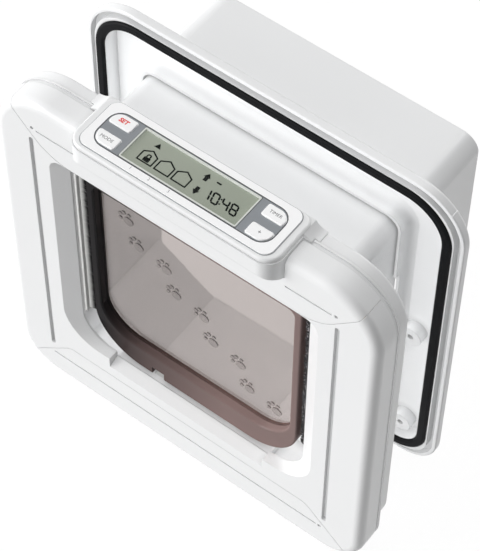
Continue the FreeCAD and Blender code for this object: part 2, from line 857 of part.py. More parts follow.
# The spring at one end of the row has a plate and two turns, the contact at the other is a plate.
row_end = S("cell_long") * 2 + 0.1
contact_out = row_half - 0.05
spring = new_body("battery_spring")
beam(spring, -contact_out, -(contact_out - 0.5), (draw_disc, cell_back, cell_high, 6.0))
for turn_out, turn_in, radius in ((0.5, 1.3, 4.6), (1.3, 2.05, 3.8)):
    turn_end = -(contact_out - turn_in)
    outer_turn = (draw_disc, cell_back, cell_high, radius)
    inner_turn = (draw_disc, cell_back, cell_high, radius - 1.1)
    beam(spring, -(contact_out - turn_out), turn_end, outer_turn, inner_turn)
label(spring, "battery_spring")
contact = new_body("battery_contact")
beam(contact, row_end, contact_out, (draw_disc, cell_back, cell_high, 4.5))
label(contact, "battery_contact")

# Back shell with the tunnel, the threshold and the hinge sockets.
back = new_body("back_shell")
joint_end = S("back_start") + S("joint_wide")
slab(back, S("back_start"), joint_end + 0.1, frame_outline(S("joint_deep")))
slab(back, joint_end, joint_end + 1.0, frame_outline(0))
deep_half = S("frame_half") - 0.5
deep_top = S("frame_top") - 0.5
slab(
    back,
    S("back_start") + 2.8,
    S("back_end"),
    (
        draw_rounded,
        -deep_half,
        deep_half,
        -S("back_low"),
        deep_top,
        [26, 26, S("corner_high") - 0.5, S("corner_high") - 0.5],
    ),
)
back_end_y = S("back_end").value
round_off(back, 1.5, lambda box: box.YMin > back_end_y - EDGE)
hollow(
    back,
    S("back_start"),
    S("back_end") - 2.5,
    (
        draw_rounded,
        -(deep_half - S("wall")),
        deep_half - S("wall"),
        -(S("back_low") - S("wall")),
        deep_top - S("wall"),
        [23.4, 23.4, S("corner_high") - 3.5, S("corner_high") - 3.5],
    ),
)
slab(
    back,
    S("liner_start"),
    S("liner_end"),
    (draw_rounded, -S("liner_half"), S("liner_half"), -S("liner_low"), S("liner_top"), [4, 4, 8, 8]),
)
hollow(
    back,
    S("liner_start"),
    S("liner_end"),
    (draw_rounded, -S("throat_half"), S("throat_half"), -S("throat_low"), S("throat_top"), [3, 3, 5, 5]),
)
haunch = S("haunch_start")
for side in (-1, 1):
    fill = [
        ((S("throat_half") + 0.5) * side, -(S("throat_low") - 23.3)),
        ((S("throat_half") + 0.5) * side, -(S("throat_low") + 0.5)),
        ((S("throat_half") - 37.7) * side, -(S("throat_low") + 0.5)),
    ]
    spare = [
        ((S("liner_half") + 1.5) * side, -(S("liner_low") - 26.0)),
        ((S("liner_half") + 1.5) * side, -(S("liner_low") + 1.5)),
        ((S("liner_half") - 40.5) * side, -(S("liner_low") + 1.5)),
    ]
    slab(back, haunch - 2.5, S("liner_end"), (draw_path, fill))
    hollow(back, haunch, S("liner_end") + 1, (draw_path, spare))
BOLT_SPOTS = {"out": -24.0, "in": 24.0}
BOLT_BACK = S("hinge_back")
slab(
    back,
    S("liner_start"),
    S("flap_front") + 11.5,
    (draw_rounded, -S("ramp_half"), S("ramp_half"), -(S("throat_low") + 0.5), -(S("ramp_back") + 0.3), 0.5),
)
well(
    back,
    -(S("liner_low") + 1),
    -(S("ramp_back") - 1),
    *[
        (draw_rounded, spot - 3.7, spot + 3.7, BOLT_BACK - 2.1, BOLT_BACK + 2.1, 0.4)
        for spot in BOLT_SPOTS.values()
    ],
)
well(
    back,
    -(S("liner_low") + 1),
    -(S("ramp_back") + 1.2),
    (draw_rounded, -11.1, 11.1, BOLT_BACK - 2.0, BOLT_BACK + 2.0, 0.3),
)
slice_off(
    back,
    -(S("throat_half") + 3),
    S("throat_half") + 3,
    (draw_disc, S("hinge_back"), S("hinge_high"), S("rod_radius") + 0.02),
)
well(
    back,
    S("frame_top") - 6,
    S("frame_top") + 1,
    (draw_rounded, -(pod_half - 3.0), pod_half - 3.0, 13.0, S("back_end") - 2.5, 0.5),
)
slab(
    back,
    S("back_start"),
    S("back_end") - 1.5,
    *[(draw_disc, x, z, 3.6) for x, z in SCREW_PLACES],
)
hollow(back, S("back_start"), S("back_end"), *[(draw_disc, x, z, 1.6) for x, z in SCREW_PLACES])
hollow(back, S("back_end") - 1.6, S("back_end"), *[(draw_disc, x, z, 3.1) for x, z in SCREW_PLACES])
BOSS_HEIGHTS = (S("post_mid"), -S("post_low"))
BOSS_SPOTS = [(side, z) for side in (-1, 1) for z in BOSS_HEIGHTS]
hollow(
    back,
    S("back_end") - 3,
    S("back_end"),
    *[(draw_disc, S("boss_half") * side, z, 2.2) for side, z in BOSS_SPOTS],
)
label(back, "back_shell")

screws = new_body("shell_screws")
label(screws, "shell_screws")
slab(screws, 6.0, S("back_end") - 1.5, *[(draw_disc, x, z, 1.36) for x, z in SCREW_PLACES])
slab(screws, S("back_end") - 1.5, S("back_end") - 0.1, *[(draw_disc, x, z, 2.9) for x, z in SCREW_PLACES])

# Antenna coil wound round the tunnel, inside the back shell.


def around_liner(gap):
    """The tunnel's outer size, grown by a gap."""
    half = S("liner_half") + gap
    return (-half, half, -(S("liner_low") + gap), S("liner_top") + gap)


coil = new_body("antenna_coil")
slab(
    coil,
    S("back_start") + 0.75,
    S("back_end") - 3.4,
    (draw_rounded, *around_liner(2.1), [6.1, 6.1, 10.1, 10.1]),
    (draw_rounded, *around_liner(0.2), [4.2, 4.2, 8.2, 8.2]),
)
label(coil, "antenna_coil")

# Flat cable from the board down to the latch solenoids.
cable = new_body("flat_cable")
slab(
    cable,
    S("back_end") - 2.5 - 0.75,
    S("back_end") - 2.55,
    (
        draw_path,
        [
            (-(pod_half - 9.5), S("frame_top") - 6.4),
            (-(pod_half - 9.5), S("frame_top") - 9.8),
            (-(S("liner_half") + 6.7), S("frame_top") - 9.8),
            (-(S("liner_half") + 6.7), -(S("back_low") - 10.4)),
            (-12, -(S("back_low") - 10.4)),
            (-12, -(S("back_low") - 7.4)),
            (-(S("liner_half") + 9.7), -(S("back_low") - 7.4)),
            (-(S("liner_half") + 9.7), S("frame_top") - 6.4),
        ],
    ),
)
label(cable, "flat_cable")

# Flap: a tinted clear moulding with a thick rim, a hinge barrel and a row of paw prints.
flap = new_body("flap")
flap_half = S("flap_half")
pane_half = S("pane_half")
slab(
    flap,
    S("flap_front"),
    S("flap_front") + S("flap_thick"),
    (
        draw_rounded,
        -flap_half,
        flap_half,
        -S("flap_low"),
        S("hinge_high") - 2.0,
        [S("flap_corner"), S("flap_corner"), 3, 3],
    ),
)
hollow(
    flap,
    S("flap_front"),
    S("pane_front"),
    (draw_rounded, -pane_half, pane_half, -S("pane_low"), S("hinge_high") - 9, [22, 22, 4, 4]),
)
hollow(
    flap,
    S("pane_front") + S("pane_thick"),
    S("flap_front") + S("flap_thick"),
    (draw_rounded, -pane_half, pane_half, -S("pane_low"), S("hinge_high") - 9, [22, 22, 4, 4]),
)
hinge_back = S("hinge_back")
hinge_high = S("hinge_high")
beam(flap, -flap_half, flap_half, (draw_disc, hinge_back, hinge_high, S("barrel_radius")))
slice_off(flap, -(flap_half + 1), flap_half + 1, (draw_disc, hinge_back, hinge_high, S("rod_radius") + 0.06))
flap_front_y = S("flap_front").value
flap_low_z = -S("flap_low").value


def rim_edge(box):
    """The front edges along the flap's sides, corners and foot."""
    wide = box.XMax - box.XMin > 100
    low = box.ZMin < flap_low_z + 40
    return box.YMax < flap_front_y + EDGE and box.ZMin < 60 and (wide or low)


round_off(flap, 1.2, rim_edge)
# A paw print is one large pad and four toes; the trail runs down across the pane.
PAW_COUNT = 9
PAW_TURN = math.radians(45)
TOES = [(-3.7, 2.0, 1.15), (-1.5, 4.3, 1.3), (1.5, 4.3, 1.3), (3.7, 2.0, 1.15)]
discs = []
for number in range(PAW_COUNT):
    share = number / (PAW_COUNT - 1)
    offset = 4.2 if number % 2 == 0 else -4.2
    px = pane_half * (-0.756 + 1.52 * share) + offset * 0.68
    pz = S("pane_low") * (0.658 - 1.425 * share) + offset * 0.73
    for dx, dz, radius in [(0.0, -1.2, 2.9)] + TOES:
        turned_x = dx * math.cos(PAW_TURN) - dz * math.sin(PAW_TURN)
        turned_z = dx * math.sin(PAW_TURN) + dz * math.cos(PAW_TURN)
        discs.append((draw_disc, px + turned_x, pz + turned_z, radius))
slab(flap, S("pane_front") - 0.4, S("pane_front") + 0.2, *discs)
well(
    flap,
    -(S("flap_low") + 1),
    -(S("flap_low") - 6.2),
    (draw_rounded, BOLT_SPOTS["out"] - 4, BOLT_SPOTS["out"] + 4, BOLT_BACK - 6, BOLT_BACK + 2.2, 0.4),
    (draw_rounded, BOLT_SPOTS["in"] - 4, BOLT_SPOTS["in"] + 4, BOLT_BACK - 2.2, BOLT_BACK + 6, 0.4),
    (draw_rounded, -11.1, 11.1, BOLT_BACK - 2.0, BOLT_BACK + 2.0, 0.3),
)
label(flap, "flap")

rod = new_body("hinge_rod")
beam(rod, -(throat_half + 2.8), throat_half + 2.8, (draw_disc, hinge_back, hinge_high, S("rod_radius")))
label(rod, "hinge_rod")

magnet = new_body("flap_magnet")
tower(
    magnet,
    -(S("flap_low") - 0.3),
    -(S("flap_low") - 6.1),
    (draw_rounded, -11, 11, BOLT_BACK - 1.9, BOLT_BACK + 1.9, 0.3),
)
label(magnet, "flap_magnet")
magnet = new_body("sill_magnet")
tower(
    magnet,
    -(S("liner_low") - 0.2),
    -(S("ramp_back") + 1.3),
    (draw_rounded, -11, 11, BOLT_BACK - 1.9, BOLT_BACK + 1.9, 0.3),
)
label(magnet, "sill_magnet")

# Latch bolts stand in the threshold and rise into the flap's lower edge.
for name, spot in BOLT_SPOTS.items():
    magnet_box = new_body("solenoid_" + name)
    tower(
        magnet_box,
        -(S("back_low") - S("wall") - 0.2),
        -(S("liner_low") + 4.7),
        (draw_rounded, spot - 8, spot + 8, BOLT_BACK - 6.2, BOLT_BACK + 6.2, 1),
        (draw_disc, spot, BOLT_BACK, 1.78),
    )
    label(magnet_box, "solenoid_" + name)
    bolt = new_body("latch_bolt_" + name)
    tower(
        bolt,
        -(S("back_low") - S("wall") - 1.4),
        -(S("liner_low") + 4.2),
        (draw_disc, spot, BOLT_BACK, 1.7),
    )
    tower(
        bolt,
        -(S("liner_low") + 4.4),
        -(S("ramp_back") + 0.9),
        (draw_rounded, spot - 3.4, spot + 3.4, BOLT_BACK - 1.8, BOLT_BACK + 1.8, 0.3),
    )
    label(bolt, "latch_bolt_" + name)

# Pile strips close the gaps beside the flap.
strip_low = -(S("window_low") - 18.3)
strip_top = S("window_top") - 14
rim_front = S("flap_front")
backing_shape = (draw_rounded, rim_front - 0.4, rim_front + 8.4, strip_low, strip_top, 0.3)
pile_shape = (draw_rounded, rim_front + 1.4, rim_front + 6.6, strip_low + 1, strip_top - 1, 0.3)
for side, name in ((-1, "pile_strip_left"), (1, "pile_strip_right")):
    strip = new_body(name)
    inner = flap_half + 0.6
    outer = S("throat_half") - 0.05
    backing = outer - 1.4
    if side > 0:
        beam(strip, backing, outer, backing_shape)
        beam(strip, inner, backing, pile_shape)
    else:
        beam(strip, -outer, -backing, backing_shape)
        beam(strip, -backing, -inner, pile_shape)
    label(strip, name)

# Outside frame: a rim round a recess, a collar for the tunnel, screw bosses and a rain hood.
outer = new_body("outside_frame")
flange_half = S("flange_half")
flange_low = S("flange_low")
flange_top = S("flange_top")
rim_front = S("flange_front") + 0.8


def rim_outline(inset):
    """The outside frame's outline, drawn in by an inset."""
    half = flange_half - inset
    radii = [22 - inset, 22 - inset, 30 - inset, 30 - inset]
    return (draw_rounded, -half, half, -(flange_low - inset), flange_top - inset, radii)


slab(outer, rim_front, S("flange_back"), rim_outline(0))
rim_front_y = rim_front.value
flange_back_y = S("flange_back").value
round_off(outer, S("rim_round"), lambda box: box.YMax < rim_front_y + EDGE)
round_off(outer, 1.6, lambda box: box.YMin > flange_back_y - EDGE)
slab(outer, S("flange_front"), rim_front + 0.1, rim_outline(5.2))
hollow(outer, rim_front, S("flange_front") + S("rim_ditch"), rim_outline(2.2), rim_outline(5.2))
plate_half = S("recess_half") + 3.4
slab(
    outer,
    S("flange_back") - 0.5,
    S("plate_back"),
    (draw_rounded, -plate_half, plate_half, -(flange_low - 8.6), flange_top - 8.4, [16, 16, 24, 24]),
)
hollow(
    outer,
    S("flange_front"),
    S("recess_floor"),
    (
        draw_rounded,
        -S("recess_half"),
        S("recess_half"),
        -(S("flange_low") - 12.1),
        S("flange_top") - 11.9,
        [13, 13, 20, 20],
    ),
)


def seal_outline(inset, radii):
    """Outline of the weather seal, drawn in from its outer edge."""
    half = S("seal_half") - inset
    return (draw_rounded, -half, half, -(flange_low - 6.1 - inset), flange_top - 5.8 - inset, radii)


hollow(
    outer,
    S("flange_front"),
    S("seal_front") + 3.9,
    seal_outline(-0.05, [20, 20, 27, 27]),
    seal_outline(S("seal_wide") + 0.05, [14.6, 14.6, 21.6, 21.6]),
)


def collar(grow_by, radius):
    """Outline of the collar round the tunnel."""
    half = S("stub_half") + grow_by
    low = S("stub_low") + grow_by * 0.3
    return (draw_rounded, -half, half, -low, S("stub_top") + grow_by, [4, 4, radius, radius])


slab(outer, S("stub_front"), S("recess_floor") + 0.5, collar(0, 9))
lofted(
    outer,
    "PartDesign::AdditiveLoft",
    [
        (S("recess_floor") - 5.5, *collar(0.0, 9)),
        (S("recess_floor") - 3.0, *collar(0.7, 9.7)),
        (S("recess_floor") - 1.2, *collar(2.2, 11.2)),
        (S("recess_floor") + 0.2, *collar(5.4, 14.4)),
    ],
)
hood_half = S("hood_half")
slab(
    outer,
    S("plate_back") - 0.5,
    S("hood_end"),
    (draw_rounded, -hood_half, hood_half, -S("bore_low"), S("bore_top") + 1.9, [3, 3, 10, 10]),
)
hollow(
    outer,
    S("stub_front"),
    S("hood_end"),
    (draw_rounded, -S("bore_half"), S("bore_half"), -S("bore_low"), S("bore_top"), [3, 3, 8, 8]),
)
slice_off(
    outer,
    -(hood_half + 5),
    hood_half + 5,
    (
        draw_path,
        [
            (S("plate_back"), -S("flange_low")),
            (S("plate_back"), -(S("window_low") - 24.3)),
            (S("hood_end") + 1, S("window_top") - 71),
            (S("hood_end") + 1, -S("flange_low")),
        ],
    ),
)
stub_side = S("stub_half") + 7.2
hollow(
    outer,
    S("stub_front"),
    S("stub_front") + 3.0,
    (draw_rounded, -stub_side, stub_side, -(S("stub_low") + 1.5), S("window_top") - 41.4, 1),
)
slab(
    outer,
    S("recess_floor") - 6.1,
    S("recess_floor") + 0.5,
    *[(draw_disc, S("boss_half") * side, z, 6.0) for side, z in BOSS_SPOTS],
)
hollow(
    outer,
    S("recess_floor") - 6.1,
    S("plate_back"),
    *[(draw_disc, S("boss_half") * side, z, 1.7) for side, z in BOSS_SPOTS],
)
label(outer, "outside_frame")

seal = new_body("weather_seal")
slab(
    seal,
    S("seal_front"),
    S("seal_front") + 3.8,
    seal_outline(0, [20, 20, 27, 27]),
    seal_outline(S("seal_wide"), [14.6, 14.6, 21.6, 21.6]),
)
seal_front_y = S("seal_front").value
round_off(seal, 1.7, lambda box: box.YMax < seal_front_y + EDGE)
label(seal, "weather_seal")

# Checks, then one file for each piece.
doc.recompute()
faults = []
for item in doc.Objects:
    if "Invalid" in item.State or "Error" in item.State:
        faults.append("%s (%s): %s" % (item.Name, item.Label, item.State))
for before, after in carvings:
    if not after.Shape.isNull() and after.Shape.Volume >= before.Shape.Volume - 1e-6:
        faults.append("%s in %s takes nothing away" % (after.Name, after.getParentGeoFeatureGroup().Label))
for name, item in nodes.items():
    shape = item.Shape
    if shape.isNull() or not shape.isValid() or not shape.Solids:
        faults.append(name + ": no valid solid")
if faults:
    raise SystemExit("\n".join(faults))
for name, item in sorted(nodes.items()):
    shape = item.Shape
    shape.exportStep("parts/%s.step" % name)
    box = shape.BoundBox
    print("%-18s %d solid(s) %9.1f mm3  X %.1f..%.1f  Y %.1f..%.1f  Z %.1f..%.1f" % (
        name, len(shape.Solids), shape.Volume, box.XMin, box.XMax, box.YMin, box.YMax, box.ZMin, box.ZMax))
print(len(nodes), "pieces")
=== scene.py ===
# %% [markdown]
# This scene dresses a pet door: a white moulded frame with a control pod, a tinted clear flap,
# a tunnel and a second frame with a rain hood that goes on the outdoor side. The solids come
# packed from the drawing stage as a fixed frame. Each of them gets a finish of its own here,
# and what was too fine to draw as solids, such as brush fibres and printed marks, is modelled.

# %% Load the frame
import math
import random

import bmesh
import bpy
from mathutils import Matrix, Vector


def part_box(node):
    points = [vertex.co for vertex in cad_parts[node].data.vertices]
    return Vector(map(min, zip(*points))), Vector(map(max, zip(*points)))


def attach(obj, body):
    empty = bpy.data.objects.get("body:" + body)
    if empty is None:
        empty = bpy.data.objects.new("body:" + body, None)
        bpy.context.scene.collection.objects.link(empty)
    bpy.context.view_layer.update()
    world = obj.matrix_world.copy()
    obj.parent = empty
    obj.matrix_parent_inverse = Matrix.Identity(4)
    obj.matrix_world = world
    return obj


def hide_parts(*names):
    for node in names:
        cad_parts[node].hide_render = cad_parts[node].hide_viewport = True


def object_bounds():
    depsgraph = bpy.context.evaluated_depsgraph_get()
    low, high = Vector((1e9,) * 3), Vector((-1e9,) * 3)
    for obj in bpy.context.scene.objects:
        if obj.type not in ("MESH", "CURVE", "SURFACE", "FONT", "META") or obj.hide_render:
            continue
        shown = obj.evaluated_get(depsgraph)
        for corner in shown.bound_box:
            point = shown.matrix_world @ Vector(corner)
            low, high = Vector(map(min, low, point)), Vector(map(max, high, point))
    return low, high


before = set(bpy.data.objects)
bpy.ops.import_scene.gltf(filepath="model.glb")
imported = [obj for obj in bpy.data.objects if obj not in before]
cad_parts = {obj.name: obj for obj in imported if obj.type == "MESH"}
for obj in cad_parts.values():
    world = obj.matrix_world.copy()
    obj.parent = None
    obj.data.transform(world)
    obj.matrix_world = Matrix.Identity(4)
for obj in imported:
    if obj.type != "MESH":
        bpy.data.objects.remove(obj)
cad_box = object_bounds()
scene = bpy.context.scene

# %% [markdown]
# Sizes are easier to think about in millimetres on an object like this, while Blender works in
# metres. One small value does the turning, and the places of the panel's parts are read from the
# solids themselves, so a mark printed on a key stays on that key when the key moves.

# %% Measures
MM = 0.001
plate_low, plate_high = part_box("label_plate")
field_low, field_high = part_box("panel_field")
bezel_low, bezel_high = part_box("display_bezel")
cell_low, cell_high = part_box("display_cell")
print("panel top at %.2f mm" % (plate_high[2] / MM))

# %% [markdown]
# Every finish is a node tree. Small helpers keep each recipe short enough to read: they add a node
# and fill in its sockets, link values through a math node, mix two colours, and start a material
# or a node group. A node group holds what more than one finish needs. It gives back colours, a
# roughness and a height, and the material itself decides where they go.

# %% Helpers for node trees
def add_node(tree, kind, **settings):
    node = tree.nodes.new(kind)
    for key, value in settings.items():
        socket_name = key.replace("_", " ")
        if socket_name in node.inputs:
            feed(tree, value, node.inputs[socket_name])
        else:
            setattr(node, key, value)
    return node


def feed(tree, value, socket):
    if isinstance(value, bpy.types.NodeSocket):
        tree.links.new(value, socket)
    else:
        socket.default_value = value


def reckon(tree, operation, *values):
    node = tree.nodes.new("ShaderNodeMath")
    node.operation = operation
    for place, value in enumerate(values):
        feed(tree, value, node.inputs[place])
    return node.outputs[0]


def blend_colours(tree, share, first, second):
    node = tree.nodes.new("ShaderNodeMix")
    node.data_type = "RGBA"
    feed(tree, share, node.inputs[0])
    feed(tree, first, node.inputs[6])
    feed(tree, second, node.inputs[7])
    return node.outputs[2]


def rgb(red, green, blue):
    """Eight-bit screen numbers turned into the linear light that a shader works with."""
    linear = []
    for level in (red, green, blue):
        level = level / 255
        linear.append(level / 12.92 if level <= 0.04045 else ((level + 0.055) / 1.055) ** 2.4)
    return (*linear, 1.0)


def new_finish(name, **constants):
    material = bpy.data.materials.new(name)
    material.use_nodes = True
    shader = material.node_tree.nodes["Principled BSDF"]
    for key, value in constants.items():
        shader.inputs[key.replace("_", " ")].default_value = value
    return material, material.node_tree, shader


def raise_bump(tree, shader, height, strength, distance):
    bump = add_node(tree, "ShaderNodeBump", Strength=strength, Distance=distance, Height=height)
    tree.links.new(bump.outputs["Normal"], shader.inputs["Normal"])
    return bump


def new_group(name, inputs, outputs):
    """An empty node group with named sockets, and the object's own coordinates inside it."""
    group = bpy.data.node_groups.new(name, "ShaderNodeTree")
    for direction, sockets in (("INPUT", inputs), ("OUTPUT", outputs)):
        for label, kind in sockets.items():
            group.interface.new_socket(label, in_out=direction, socket_type="NodeSocket" + kind)
    given = group.nodes.new("NodeGroupInput").outputs
    result = group.nodes.new("NodeGroupOutput").inputs
    place = group.nodes.new("ShaderNodeTexCoord").outputs["Object"]
    return group, given, result, place


def use_group(tree, group, *values):
    node = tree.nodes.new("ShaderNodeGroup")
    node.node_tree = group
    for socket, value in zip(node.inputs, values):
        socket.default_value = value
    return node.outputs


SURFACE = {"Colour": "Color", "Roughness": "Float", "Height": "Float"}

# %% [markdown]
# Injection-moulded plastic isn't perfectly even. Its skin has a very fine orange peel from the
# mould, its gloss drifts a little where the melt cooled slower, and its colour is never quite one
# flat number. All the white parts share this, so it is built once as a node group that takes a
# colour and a gloss and gives back a colour, a roughness and a height.

# %% Node group: moulded skin
def build_moulded_skin():
    group, given, result, place = new_group(
        "moulded skin", {"Colour": "Color", "Gloss": "Float", "Peel": "Float"}, SURFACE
    )
    drift = add_node(group, "ShaderNodeTexNoise", Vector=place, Scale=14.0, Detail=2.0)
    peel = add_node(group, "ShaderNodeTexNoise", Vector=place, Scale=620.0, Detail=1.0)
    spark = add_node(group, "ShaderNodeTexNoise", Vector=place, Scale=2600.0, Detail=1.0)
    shade = reckon(group, "MULTIPLY_ADD", drift.outputs[0], 0.05, 0.972)
    tint = group.nodes.new("ShaderNodeVectorMath")
    tint.operation = "SCALE"
    group.links.new(given["Colour"], tint.inputs[0])
    group.links.new(shade, tint.inputs["Scale"])
    group.links.new(tint.outputs[0], result["Colour"])
    dull = reckon(group, "MULTIPLY_ADD", drift.outputs[0], 0.10, -0.05)
    fleck = reckon(group, "MULTIPLY_ADD", spark.outputs[0], 0.06, -0.03)
    rough = reckon(group, "ADD", reckon(group, "ADD", given["Gloss"], dull), fleck)
    group.links.new(rough, result["Roughness"])
    fine = reckon(group, "MULTIPLY_ADD", spark.outputs[0], 0.3, peel.outputs[0])
    group.links.new(reckon(group, "MULTIPLY", fine, given["Peel"]), result["Height"])
    return group


moulded_skin = build_moulded_skin()
print("group:", moulded_skin.name, len(moulded_skin.nodes), "nodes")

# %% [markdown]
# Seams and inner corners of a white moulding look grey, because little light finds its way in.
# An ambient occlusion node measures how closed in a point is and mixes in a deeper tone there, as painted
# shade.
# Real edges are never sharp either: a bevel node bends the normal over half a millimetre, which
# gives each edge its soft, bright line without changing the mesh.

# %% Finish: moulded plastic
CREVICE_REACH = 5 * MM
CREVICE_PAINTED_SHADE = 0.55
CREVICE_CURVE = 1.3


def moulded_plastic(name, colour, gloss, peel=1.0, edge=0.0, **constants):
    material, tree, shader = new_finish(name, **constants)
    skin = use_group(tree, moulded_skin, colour, gloss, peel)
    tree.links.new(skin["Colour"], shader.inputs["Base Color"])
    tree.links.new(skin["Roughness"], shader.inputs["Roughness"])
    bump = raise_bump(tree, shader, skin["Height"], 0.12, 0.00008)
    if edge:
        # Painted shade: the colour is mixed deeper where ambient occlusion finds seams and inner corners.
        crevice = add_node(tree, "ShaderNodeAmbientOcclusion", Distance=CREVICE_REACH)
        crevice.samples = 6
        shade = reckon(tree, "POWER", crevice.outputs["AO"], CREVICE_CURVE)
        deep = tuple(CREVICE_PAINTED_SHADE * part for part in colour[:3]) + (1.0,)
        tree.links.new(
            blend_colours(tree, shade, deep, skin["Colour"]), shader.inputs["Base Color"]
        )
        soften = add_node(tree, "ShaderNodeBevel", Radius=edge)
        soften.samples = 4
        tree.links.new(soften.outputs[0], bump.inputs["Normal"])
    return material

# %% [markdown]
# Drawn and ground metal shows fine lines in one direction. Stretching the coordinates before a
# noise turns its grains into such lines. Springs, rod, magnets and solenoids all use it, each
# with its own direction and scale, so this is the second node group.

# %% Node group: drawn lines
def build_drawn_lines():
    group, given, result, place = new_group(
        "drawn lines", {"Stretch": "Vector", "Dark": "Color", "Light": "Color"}, SURFACE
    )
    pull = group.nodes.new("ShaderNodeVectorMath")
    pull.operation = "MULTIPLY"
    group.links.new(place, pull.inputs[0])
    group.links.new(given["Stretch"], pull.inputs[1])
    lines = add_node(group, "ShaderNodeTexNoise", Vector=pull.outputs[0], Scale=1.0, Detail=3.0)
    group.links.new(
        blend_colours(group, lines.outputs[0], given["Dark"], given["Light"]), result["Colour"]
    )
    group.links.new(reckon(group, "MULTIPLY_ADD", lines.outputs[0], 0.2, 0.22), result["Roughness"])
    group.links.new(lines.outputs[0], result["Height"])
    return group


drawn_lines = build_drawn_lines()


def ground_metal(name, dark, light, stretch):
    material, tree, shader = new_finish(name, Metallic=1.0)
    lines = use_group(tree, drawn_lines, stretch, dark, light)
    tree.links.new(lines["Colour"], shader.inputs["Base Color"])
    tree.links.new(lines["Roughness"], shader.inputs["Roughness"])
    raise_bump(tree, shader, lines["Height"], 0.15, 0.0001)
    return material

# %% [markdown]
# Dressing a solid means giving its object a material in each slot. The mesh stays untouched, so
# the scene and the physics model keep the same shape.

# %% Dress the solids
def dress(material, *nodes):
    for node in nodes:
        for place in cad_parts[node].material_slots:
            place.material = material
    print(material.name, "on", ", ".join(nodes))

# %% [markdown]
# The shells are glossy white plastic. Pure white would leave no room for highlights, so the
# colour stops at about four fifths of white. A faint coat gives the tight, bright line that
# polished mouldings show along their rounded edges.

# %% White shells
shell_white = moulded_plastic(
    "shell white", (0.80, 0.805, 0.81, 1.0), 0.30, 1.0, 0.5 * MM, Coat_Weight=0.25, Coat_Roughness=0.12
)
dress(shell_white, "upper_cover", "pod_lid", "inside_frame", "lower_cover", "back_shell", "outside_frame")

# %% [markdown]
# The flap is one moulding of smoke-tinted plastic. The thin pane lets most light through, while the
# rim is three times as thick, so it swallows nearly all and shows as deep brown. One glass shader
# can't do both, because its tint doesn't know how thick the wall is. So a copy of the flap's own
# mesh stands in for it, with three finishes picked by where a face lies: clear for the pane, a
# darker frosted one for the raised paw prints, and a solid deep brown for the rim. Across the rim
# the brown carries painted shade and painted light: it is nearly black at the left side, standing for
# the shade and the dark brush seen there, and grows lighter towards the right side, as painted light.

# %% Smoke-tinted flap
PANE_TINT = (0.485, 0.432, 0.414, 1.0)
PRINT_TINT = (0.32, 0.275, 0.26, 1.0)
PANE_GLOSS = 0.3
# Painted shade on the rim's left edge, and painted light from here towards the right.
PAINTED_SHADE_WIDE = 5 * MM
PAINTED_LIGHT_FROM = 20 * MM
RIM_PAINTED_SHADE = rgb(20, 17, 19)
RIM_BROWN = rgb(126, 107, 104)


def build_smoke_flow():
    group, given, result, place = new_group(
        "smoke flow", {"Tint": "Color", "Thicker": "Color"}, {"Colour": "Color", "Height": "Float"}
    )
    cloud = add_node(group, "ShaderNodeTexNoise", Vector=place, Scale=30.0, Detail=1.0)
    group.links.new(
        blend_colours(group, cloud.outputs[0], given["Tint"], given["Thicker"]), result["Colour"]
    )
    flow = add_node(group, "ShaderNodeTexNoise", Vector=place, Scale=160.0, Detail=1.0)
    group.links.new(flow.outputs[0], result["Height"])
    return group


smoke_flow = build_smoke_flow()


def smoke_clear(name, tint, roughness):
    material, tree, shader = new_finish(
        name, Roughness=roughness, IOR=1.45, Transmission_Weight=1.0, Specular_IOR_Level=PANE_GLOSS
    )
    thicker = tuple(0.97 * part for part in tint[:3]) + (1.0,)
    smoke = use_group(tree, smoke_flow, tint, thicker)
    tree.links.new(smoke["Colour"], shader.inputs["Base Color"])
    raise_bump(tree, shader, smoke["Height"], 0.05, 0.0001)
    return material


def smoke_deep_painted_shade():
    material, tree, shader = new_finish(
        "smoke deep painted shade", Coat_Weight=0.22, Coat_Roughness=0.1, Specular_IOR_Level=0.0
    )
    place = tree.nodes.new("ShaderNodeTexCoord").outputs["Object"]
    parts = tree.nodes.new("ShaderNodeSeparateXYZ")
    tree.links.new(place, parts.inputs[0])
    # Painted shade and light: the rim runs from nearly black at its left to lit brown towards its right.
    across = tree.nodes.new("ShaderNodeMapRange")
    across.inputs["From Min"].default_value = flap_low[0] + PAINTED_SHADE_WIDE
    across.inputs["From Max"].default_value = PAINTED_LIGHT_FROM
    tree.links.new(parts.outputs[0], across.inputs["Value"])
    cloud = add_node(tree, "ShaderNodeTexNoise", Vector=place, Scale=24.0, Detail=2.0)
    drift = reckon(tree, "MULTIPLY_ADD", cloud.outputs[0], 0.12, -0.06)
    share = reckon(tree, "ADD", across.outputs["Result"], drift)
    tree.links.new(blend_colours(tree, share, RIM_PAINTED_SHADE, RIM_BROWN), shader.inputs["Base Color"])
    tree.links.new(reckon(tree, "MULTIPLY_ADD", cloud.outputs[0], 0.15, 0.22), shader.inputs["Roughness"])
    smoke = use_group(tree, smoke_flow)
    raise_bump(tree, shader, smoke["Height"], 0.05, 0.0001)
    return material


# The pane's edges lie this far inside the flap's box, at the sides, below and above. The prints'
# front and the pane's back lie this far behind the rim's front.
flap_low, flap_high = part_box("flap")
PANE_HALF = flap_high[0] - 4.6 * MM
PANE_LOW = flap_low[2] + 17.2 * MM
PANE_TOP = flap_high[2] - 12.6 * MM
PRINT_FRONT = flap_low[1] + 3.8 * MM
PANE_BACK = flap_low[1] + 6.8 * MM
NEAR = 0.1 * MM


